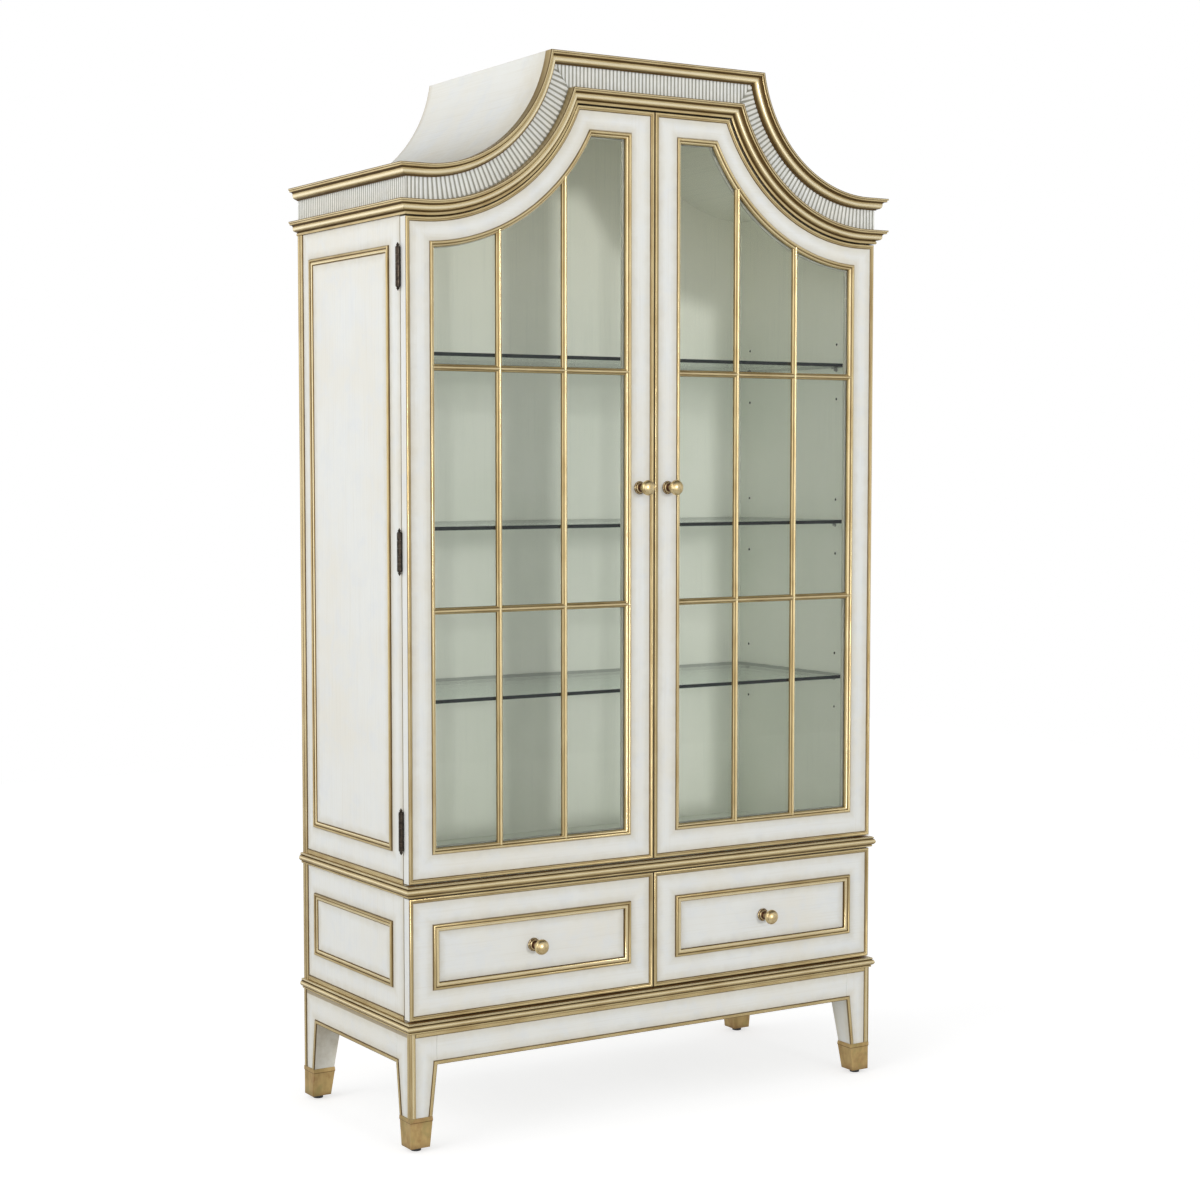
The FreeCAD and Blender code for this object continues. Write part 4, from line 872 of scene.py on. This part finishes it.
def crown_lowest(s):
    """The crown's ribs stop at the same mitre."""
    fall = ARC_Z - CROWN
    return ((ARC_X - abs(s)) ** 2 - ARC_R ** 2 + fall ** 2) / (2 * (ARC_R - fall))


BAND_THICK = CASE_FRONT - FRONT
curve_end = acos((ARC_Z - CROWN + ROOF) / (ARC_R + ROOF)) * ARC_R
crown_end = ARC_X - sqrt((ARC_R + ROOF) ** 2 - (ARC_Z - CROWN + ROOF) ** 2)
shoulder_band = flute_strip(-HALF, -ARC_X, level_place(SHOULDER), lambda s: min(BAND_THICK, s + HALF))
curve_band = flute_strip(0, curve_end, curve_place, lambda s: BAND_THICK, curve_lowest)
front_bands = both_sides([shoulder_band]) + both_sides([curve_band])
front_bands.append(flute_strip(-crown_end, crown_end, level_place(CROWN), lambda s: BAND_THICK, crown_lowest))
make_piece("frieze_ribs_front", front_bands, "case", FRIEZE_PAINT, ("frieze_front",))
side_band = flute_strip(
    FRONT, BACK, lambda s, depth, out: Vector((-HALF - out, s, SHOULDER - depth)),
    lambda s: min(HALF - INNER, s - FRONT), lambda s: CORNICE_END - 14 * MM)
make_piece("frieze_ribs_sides", both_sides([side_band]), "case", FRIEZE_PAINT,
           ("frieze_sides",))

# ---- Doors: edge bead, glazing bead with its retainer, bars ----
# Door profiles: values below 0 are painted highlights on crests; above 0 glaze and painted shade in the
# hollows and on the flanks.
EDGE_PROFILE = in_metres([
    (0, 0, 1), (0, 1.5, 0.6), (0.4, 2.4, 0.3), (1.4, 3, 0.1), (3, 3, -0.25), (4.2, 2.7, 0.15),
    (5, 2.1, 0.5), (5.5, 1.9, 0.65), (6.1, 1.9, 0.4), (6.8, 2, 0.2), (7.6, 1.9, 0.3), (8.4, 1.3, 0.7),
    (9, 0.5, 1), (9, 0, 1)])
GLAZING_PROFILE = in_metres([
    (0, 0, 1), (0, 9, 1), (0.1, 10.2, 0.8), (0.7, 11.6, 0.3), (1.8, 12.4, 0), (3.2, 12.5, -0.3),
    (4.6, 12, 0.05), (5.6, 10.8, 0.3), (6.2, 9.6, 0.75), (6.9, 8.7, 0.7), (7.6, 8.5, 0.1),
    (8.8, 8.3, -0.35), (10, 7.3, -0.1), (11, 5.2, 0.15), (11.7, 2.6, 0.35), (12, 0.8, 0.7), (12, 0, 1)])
RETAINER_PROFILE = in_metres([
    (1.2, 0, 0.5), (1.2, 7.4, 0.2), (2.2, 8, 0), (12.6, 8, 0), (13.6, 7.2, 0), (14, 6, 0), (14, 0, 0.5)])
BAR_HALF = [(0, 0, 0.25), (0.1, 2.4, 0.75), (0.9, 4.6, 0.35), (1.9, 5.9, 0), (2.8, 6.3, 0.5),
            (3.3, 6.4, 0.85), (3.8, 7.3, 0.45), (4.5, 9.1, 0.2), (5.6, 10.2, 0), (7, 10.5, -0.35)]
CROSS_BAR_RISE = 0.995
BAR_PROFILE = in_metres(BAR_HALF + [(14 - g, h, glaze) for g, h, glaze in reversed(BAR_HALF[:-1])])

GLAZE_OUTLINE = (GLAZE_LOW.x, GLAZE_HIGH.x, GLAZE_LOW.z, GLAZE_DEPTH, GLAZE_CROWN)
edge_strip = arched(EDGE_PROFILE, PANEL_Y, -HALF, DOOR_HIGH.x, DOOR_LOW.z, DOOR_DEPTH, DOOR_DEPTH)
glazing_strip = arched(GLAZING_PROFILE, GLASS_Y, *GLAZE_OUTLINE)
retainer_strip = arched([(g, -h, glaze) for g, h, glaze in RETAINER_PROFILE], GLASS_BACK, *GLAZE_OUTLINE)


def glazing_bars():
    """Two upright bars and two levels of cross bars; their ends run into the glazing bead."""
    sunk = 0.5 * GLAZING_BEAD
    clear = (GLAZE_LOW.x + GLAZING_BEAD, GLAZE_HIGH.x - GLAZING_BEAD)
    pane = (clear[1] - clear[0] - 2 * MUNTIN) / 3
    radius = ARC_R + GLAZE_DEPTH + sunk
    strips = []
    for x in (clear[0] + pane, clear[0] + 2 * pane + MUNTIN):
        under_arc = ARC_Z - sqrt(radius ** 2 - (x + 0.5 * MUNTIN + ARC_X) ** 2)
        top = min(under_arc, CROWN - GLAZE_CROWN - sunk)
        strips.append(straight(BAR_PROFILE, Vector((x, GLASS_Y, GLAZE_LOW.z + sunk)),
                               Vector((x, GLASS_Y, top)), RIGHT, FORWARD))
    cross_profile = [(g, h * CROSS_BAR_RISE, glaze) for g, h, glaze in BAR_PROFILE]
    for level in BAR_LEVELS:
        low = level - 0.5 * MUNTIN
        strips.append(straight(cross_profile, Vector((GLAZE_LOW.x + sunk, GLASS_Y, low)),
                               Vector((GLAZE_HIGH.x - sunk, GLASS_Y, low)), UP, FORWARD))
    return strips


bar_strips = glazing_bars()
for side in ("left", "right"):
    body = "door_" + side
    turn = mirrored if side == "right" else lambda strip: strip
    gild(body + "_edge_run", [turn(edge_strip)], body, body + "_edge_bead")
    gild(body + "_glazing_run", [turn(glazing_strip)], body, body + "_glazing_bead")
    make_piece(body + "_retainer", [turn(retainer_strip)], body, SAGE_BEAD,
               (body + "_glazing_bead",))
    gild(body + "_bars", [turn(strip) for strip in bar_strips], body, body + "_muntins")

# ---- Drawers and sides: applied mouldings ----
# Panel profiles: values below 0 are painted highlights, above 0 glaze and painted shade in the hollows.
PANEL_NOSE = [(0, 0, 0.9), (0, 2.6, 0.6), (0.6, 4.1, 0.4), (1.8, 4.9, 0.25), (3.2, 5, 0.15), (4.6, 4.4, 0.35),
              (5.5, 3.3, 0.65), (6.1, 2.5, 0.95), (6.8, 2.4, 0.6), (7.6, 2.7, 0), (9.8, 2.7, -0.3)]
PANEL_PROFILE = in_metres(PANEL_NOSE + [(11.4, 2.3, -0.4), (12.6, 1.5, 0.6), (13.5, 0.7, 0.95), (14, 0, 1)])
SUNK_PROFILE = in_metres(PANEL_NOSE + [
    (12, 2.6, -0.4), (13.4, 2, 0), (14.6, 0.8, 0.7), (15, -0.8, 0.9), (15.2, -3, 1), (15.2, -4, 1),
    (14, -4, 1), (14, 0, 1)])
FLAT_EDGE = [(0, 0, 1), (0, 1.2, 0.9), (0.7, 1.9, 0.6), (1.6, 2, 0.35), (2.8, 2, 0)]


def flat_bead(width):
    """Low flat bead with eased edges."""
    return in_metres(FLAT_EDGE + [(width / MM - g, h, glaze) for g, h, glaze in reversed(FLAT_EDGE)])


def drawer_place(u, v, height):
    return Vector((u, PANEL_Y - height, v))


def left_place(u, v, height):
    return Vector((-HALF - height, u, v))


drawer_strips = [
    framed(EDGE_PROFILE, drawer_place, -HALF, DRAWER_HIGH.x, DRAWER_LOW.z, DRAWER_HIGH.z),
    framed(SUNK_PROFILE, drawer_place, GLAZE_LOW.x, GLAZE_HIGH.x, *DRAWER_PANEL_Z)]
gild("drawer_left_trim", drawer_strips, "drawer_left", "drawer_left_mouldings")
gild("drawer_right_trim", [mirrored(strip) for strip in drawer_strips], "drawer_right",
     "drawer_right_mouldings")

side_strips = [framed(PANEL_PROFILE, left_place, *SIDE_PANEL_Y, *heights) for heights in SIDE_PANELS_Z]
for low, high in ((DECK_HIGH.z, SHOULDER - CORNICE_END), (PLINTH_HIGH.z, DECK_LOW.z)):
    for y in (BACK - BACK_BEAD, BACK - 2 * BACK_BEAD):
        side_strips.append(straight(
            flat_bead(BACK_BEAD - BEAD_GAP), Vector((-HALF, y, low)), Vector((-HALF, y, high)), BACKWARD,
            LEFT))
    side_strips.append(straight(
        flat_bead(FOOT_STRIP), Vector((-HALF, CASE_FRONT, low)),
        Vector((-HALF, BACK - 2 * BACK_BEAD - 1 * MM, low)), UP, LEFT))
gild("side_trim", both_sides(side_strips), "case", "side_mouldings")


def nosing(height):
    """Waist and base moulding, as (drop from the top, overhang, glaze and painted light)."""
    return in_metres(
        [(0, 0, 0.2), (0, 4, -0.1), (0, 6.2, -0.3), (0.8, 7.4, -0.5), (2.2, 8.2, -0.2), (3.6, 7.8, 0.4),
         (4.3, 6.6, 0.9), (5, 6.3, 1)]
        + nose((5.4, 8.6), (height - 5, 7), 3.6, (0.7, 0.1, -0.4, -0.3, 0.15, 0.4, 0.55, 0.7))
        + [(height - 4.4, 4.6, 1), (height - 3.6, 4.5, 0.9), (height - 3, 5.4, 0.2),
           (height - 2.6, 5.6, 0), (height - 1, 5.6, 0), (height - 0.3, 5.2, 0.4), (height, 4.8, 0.9),
           (height, 0, 1)])


for piece_name, low, high, node_name in (("waist_run", DECK_LOW.z, DECK_HIGH.z, "waist_moulding"),
                                         ("base_run", PLINTH_LOW.z, PLINTH_HIGH.z, "base_moulding")):
    gild(piece_name, [wrapped(nosing((high - low) / MM), high)], "case", node_name)

# ---- Beads on the legs and aprons ----
def portal(place, half, wide, narrow):
    """Bead up one leg, under the apron and down the other leg."""
    low = wide - (wide - narrow) * (APRON_LOW - CAP_END) / (APRON_LOW - FOOT_Z)
    return swept(flat_bead(LEG_BEAD), place, (
        (-half + low, CAP_END, -1, 0), (-half + wide, APRON_LOW, -1, 1),
        (half - wide, APRON_LOW, 1, 1), (half - low, CAP_END, 1, 0)))


def leg_corner():
    """Bead over the left front corner of a leg, lying on both of its faces."""
    # The corner bead is darker on one face and lighter on the other: painted shade and painted highlight.
    outline = in_metres([
        (11, 0, 1), (11, -1.2, 0.8), (10.3, -2, 0.25), (7, -2, -0.2), (4, -2, -0.4), (2.6, -2, 0.35),
        (1.2, -2, 0.5), (-0.8, -2, 0.3), (-1.6, -1.6, 0.5), (-2, -0.8, 0.4), (-2, 3, 0.35), (-2, 6, -0.1),
        (-2, 10.3, 0.2), (-1.2, 11, 0.8), (0, 11, 1), (0, 0, 1)])
    rows = [[Vector((-HALF + a, FRONT + b, z)) for a, b, _ in outline] for z in (CAP_END, PLINTH_LOW.z)]
    return Strip(rows, glaze_and_light_of(outline))


apron_line = PLINTH_LOW.z - APRON_BEAD
rear_line = BACK - REAR_BEAD
plinth_strips = [
    portal(lambda u, v, h: Vector((u, FRONT - h, v)), HALF, LEG_WIDE, FOOT_WIDE),
    straight(flat_bead(APRON_BEAD), Vector((-HALF + APRON_END, FRONT, apron_line)),
             Vector((HALF - APRON_END, FRONT, apron_line)), UP, FORWARD)]
left_strips = [
    portal(lambda u, v, h: Vector((-HALF - h, MIDDLE_Y + u, v)), HALF_DEEP, LEG_DEEP, FOOT_DEEP),
    straight(flat_bead(REAR_BEAD), Vector((-HALF, rear_line, CAP_END)),
             Vector((-HALF, rear_line, PLINTH_LOW.z)), BACKWARD, LEFT),
    leg_corner()]
gild("plinth_trim", plinth_strips + both_sides(left_strips), "case", "plinth_beads")

# ---- Knobs, hinge pins, shelf pins ----


def knob_profile():
    """Rosette, waisted neck and flattened head, as (distance from the panel, radius, glaze and painted
    light).
    """
    middle, half, radius = 32.5, 10.5, 16.3
    points = [
        (0, 0, 1), (0, 14.2, 1), (1.3, 14.3, 0.5), (2.4, 13.8, 0.1), (3.1, 12.5, 0.6), (3.4, 11.5, 1),
        (4.4, 11.1, 0.5), (5.6, 10.5, 0.1), (6.4, 9.2, 0.5), (6.8, 7.6, 1), (9, 6.4, 0.8), (12.5, 5.8, 0.4),
        (16, 6, 0.3), (18.5, 7, 0.5), (20.2, 8.4, 0.3), (21.4, 8.8, 0.1), (22.4, 8.4, 1)]
    start = asin(8 / radius)
    for step in range(25):
        angle = start + (pi - start) * step / 24
        # A shallow ring on the head, darkened: painted shade at the edge of the dome.
        rim = max(0, 1 - abs(angle - radians(122)) / radians(9))
        points.append((middle - (half - 0.35 * rim) * cos(angle), radius * sin(angle),
                       max(0.5 * rim, 0.5 if step < 3 else 0)))
    return in_metres(points)


def knob(name, body, node, face):
    low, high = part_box(node)
    centre = Vector((0.5 * (low.x + high.x), face, 0.5 * (low.z + high.z)))
    strip = turned(knob_profile(), centre, FORWARD, 64, 8, 0.1, (0.6 * MM, 2.8 * MM))
    make_piece(name, [strip], body, BRASS, (node,))


for side in ("left", "right"):
    knob("door_%s_pull" % side, "door_" + side, "door_%s_knob" % side, PANEL_Y)
    knob("drawer_%s_pull" % side, "drawer_" + side, "drawer_%s_knob" % side, PANEL_Y + PANEL_SINK)


def finial(sign, reach):
    """Half a hinge pin: shaft, collar and turned finial, from the middle outwards."""
    points = [
        (0, 2.5, 0), (reach, 2.5, 0.5), (reach, 4.1, 0.5), (reach + 0.4, 4.3, 0), (reach + 1.2, 4.3, 0),
        (reach + 1.6, 3.9, 0.6), (reach + 1.9, 2.2, 1), (reach + 2.6, 2.6, 0.5), (reach + 3.6, 3.2, 0),
        (reach + 4.6, 3.2, 0), (reach + 5.8, 2.5, 0.1), (reach + 6.6, 1.7, 0.4), (reach + 7.6, 1.2, 0.2),
        (reach + 8.8, 0.8, 0), (reach + 9.3, 0, 0)]
    return in_metres([(sign * along, radius, glaze) for along, radius, glaze in points])


pin_strips = []
for level in HINGE_LEVELS:
    for x in (-HINGE_X, HINGE_X):
        reach = 2.5 * KNUCKLE / MM
        whole = list(reversed(finial(-1, reach))) + finial(1, reach)[1:]
        pin_strips.append(turned(whole, Vector((x, HINGE_Y, level)), UP, 24))
make_piece("hinge_finials", pin_strips, "case", BRONZE, ("hinge_pins",))


def shelf_support(x, y, z, sign):
    """Peg in the side with a small ledge that carries the glass; sign points into the cabinet."""
    axis = Vector((sign, 0, 0))
    peg = in_metres([
        (-9.5, 0, 0), (-9.5, 2.4, 0), (-9, 2.9, 0), (0.2, 2.9, 0.3), (0.3, 4.4, 0.5), (1.3, 4.4, 0),
        (1.6, 4.1, 0.3), (1.6, 2.6, 0.5), (6.5, 2.4, 0), (7.2, 1.6, 0), (7.4, 0, 0)])
    strips = [turned(peg, Vector((x, y, z - 4.6 * MM)), axis, 20)]
    ledge = [(-5.5, -2.2), (-5.5, -0.5), (-5.1, -0.1), (5.1, -0.1), (5.5, -0.5), (5.5, -2.2)]
    rows = []
    for along in (1.6 * MM, 2.2 * MM, 10.4 * MM, 10.9 * MM):
        narrow = 1 if 2 * MM < along < 10.6 * MM else 1 - 0.4 / 6
        rows.append([Vector((x + sign * along, y + a * MM * narrow, z + b * MM)) for a, b in ledge])
    strips.append(Strip(rows, [0] * len(ledge)))
    return strips


pin_parts = []
for shelf in ("shelf_bottom", "shelf_middle", "shelf_top"):
    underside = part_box(shelf)[0].z
    for row_y in PIN_ROWS:
        for sign in (1, -1):
            pin_parts += shelf_support(-sign * INNER, row_y, underside, sign)
make_piece("shelf_supports", pin_parts, "case", NICKEL, ("shelf_pins",))

# ---- CAD boards and fittings that stay: eased edges and their finishes ----
BACK_PAINT = back_panel()
WOOD = drawer_wood()
PLASTIC = speckled(
    "black_plastic", (1600,), (0.35, 0.7), (tint(34, 34, 34), tint(46, 45, 43)), (0.3, 0.7, 0.42, 0.55),
    (0.15, 0.1))
UPPER_GAP = side_gap(DECK_HIGH.z, SHOULDER - CORNICE_END, SIDE_PANELS_Z[0])
LOWER_GAP = side_gap(PLINTH_HIGH.z, DECK_LOW.z, SIDE_PANELS_Z[1])
# Each row: a finish, the easing of long edges in millimetres, and the nodes that wear it.
FINISHES = (
    (painted("ivory_roof", "y", roof_gap, roof_inside), 0, "roof_crown roof_curve_left roof_curve_right"),
    (painted("ivory_header", "x", None, header_inside, header_gap_shade), 0.5, "header_board"),
    (painted("ivory_deck", "x", None, deck_inside, ledge_gap_shade(DECK_HIGH.z)), 0.5, "deck_board"),
    (painted("ivory_plinth", "x", None, None, ledge_gap_shade(PLINTH_HIGH.z)), 0.5, "bottom_board"),
    (painted("ivory_upper_side", "z", UPPER_GAP, side_inside, side_bore_shade, BORE_SHADE), 0,
     "upper_side_left upper_side_right"),
    (painted("ivory_lower_side", "z", LOWER_GAP), 0.6, "lower_side_left lower_side_right"),
    (BACK_PAINT, 0, "upper_back"),
    (BACK_PAINT, 0.5, "lower_back"),
    (painted("ivory_aprons", "x", base_gap), 1, "aprons"),
    (painted("ivory_legs", "z", base_gap), 1.2, "legs_front legs_rear"),
    (cap_gilding(), 0.9, "foot_caps"),
    (painted("ivory_stiles", "z", door_gap), 0, "door_left_stiles door_right_stiles"),
    (painted("ivory_rails", "x", door_gap), 0, "door_left_rails door_right_rails"),
    (painted("ivory_drawers", "x", drawer_gap), 0.5, "drawer_left_front drawer_right_front"),
    (WOOD, 0.5, "drawer_divider"),
    (WOOD, 0.6, "drawer_runners drawer_left_box drawer_right_box"),
    (clear_glass(), 0, "door_left_glass door_right_glass"),
    (shelf_glass(), 0.9, "shelf_bottom shelf_middle shelf_top"),
    (BRONZE, 0, "hinge_case_leaves door_left_hardware door_right_hardware"),
    (PLASTIC, 1.5, "foot_glides"),
    (PLASTIC, 1, "door_catches"),
)
for finish, easing, nodes in FINISHES:
    for node_name in nodes.split():
        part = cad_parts[node_name]
        for entry in part.material_slots:
            entry.material = finish
        if easing:
            weld = part.modifiers.new("weld", "WELD")
            weld.merge_threshold = WELD_REACH
            bevel = part.modifiers.new("eased edges", "BEVEL")
            bevel.width = easing * MM
            bevel.segments = 2
            bevel.limit_method = "ANGLE"
            bevel.angle_limit = BEVEL_ANGLE
            bevel.harden_normals = True

# ---- Floor, light and camera ----
def make_floor():
    """Pale seamless floor that glows, more for the camera than for other rays; ambient occlusion dims the
    glow as a painted contact shadow under the cabinet.
    """
    reach = 5.5
    mesh = bpy.data.meshes.new("floor")
    corners = [(-reach, -reach, 0), (reach, -reach, 0), (reach, reach, 0), (-reach, reach, 0)]
    mesh.from_pydata(corners, [], [(0, 1, 2, 3)])
    shade = Shade("floor")
    grain = shade.noise(3)
    colour = shade.mix(shade.ease(grain, 0.3, 0.7), (0.44, 0.44, 0.44, 1), (0.46, 0.46, 0.46, 1))
    lit = shade.node("BsdfDiffuse", 0, {"Color": colour})
    contact_shadow = shade.node("AmbientOcclusion", "AO", {"Distance": 0.5})
    strength = shade.node("LightPath", "Is Camera Ray") * (contact_shadow * 0.24 + 0.31) + 0.29
    glow = shade.node("Emission", 0, {"Color": (1, 1, 1, 1), "Strength": strength})
    mesh.materials.append(shade.finish(shade.node("AddShader", 0, {0: lit, 1: glow})))
    add_object("floor", mesh)


def make_light():
    """White surroundings, dark overhead and in a gap at the front right, and two soft suns."""
    shade = Shade("studio", bpy.data.worlds)
    x, y, z = shade.axes(shade.node("TexCoord", "Generated"))
    level = (shade.ease(z, 0, 1, 0.82, -0.2) + shade.ease(x * -1, 0.2, 1, 0, 0.72)
             + shade.ease(y * -1, 0.2, 1, 0, 0.6))
    gap = shade.ease(x * 0.515 - y * 0.857, 0.88, 0.98, 1, 0.35)
    seen = shade.node("LightPath", "Is Camera Ray")
    strength = shade.most(level, 0) * gap * (1 - seen) + seen
    glow = shade.node("Background", 0, {"Color": (1, 1, 1, 1), "Strength": strength})
    bpy.context.scene.world = shade.finish(glow, "OutputWorld")
    for name, spread, direction in (("soft_left", 40, Vector((-1, -0.1, 0.6))),
                                    ("soft_front", 7, Vector((0.07, -1, 0.12)))):
        lamp = bpy.data.lights.new(name, "SUN")
        lamp.energy = 0.78
        lamp.angle = radians(spread)
        holder = add_object(name, lamp)
        holder.rotation_mode = "QUATERNION"
        holder.rotation_quaternion = direction.to_track_quat("Z", "Y")


def make_camera():
    """Long lens from the front left at eye height, looking slightly down."""
    yaw, pitch, roll = radians(31.2517), radians(3.9414), radians(-0.104)
    ahead = Vector((sin(yaw) * cos(pitch), cos(yaw) * cos(pitch), -sin(pitch)))
    right = Vector((cos(yaw), -sin(yaw), 0))
    up = right.cross(ahead)
    right, up = cos(roll) * right + sin(roll) * up, cos(roll) * up - sin(roll) * right
    camera = add_object("camera", bpy.data.cameras.new("camera"))
    turn = Matrix((right, up, -ahead)).transposed().to_4x4()
    eye = (-2.7363, -4.2141, 1.3983)
    camera.matrix_world = Matrix.Translation(eye) @ turn
    lens = camera.data
    lens.sensor_width = 36
    lens.lens = 67.54
    lens.shift_x, lens.shift_y = 0.0586, 0.0197
    bpy.context.scene.camera = camera


make_floor()
make_light()
make_camera()
bpy.context.scene.view_settings.view_transform = "Standard"
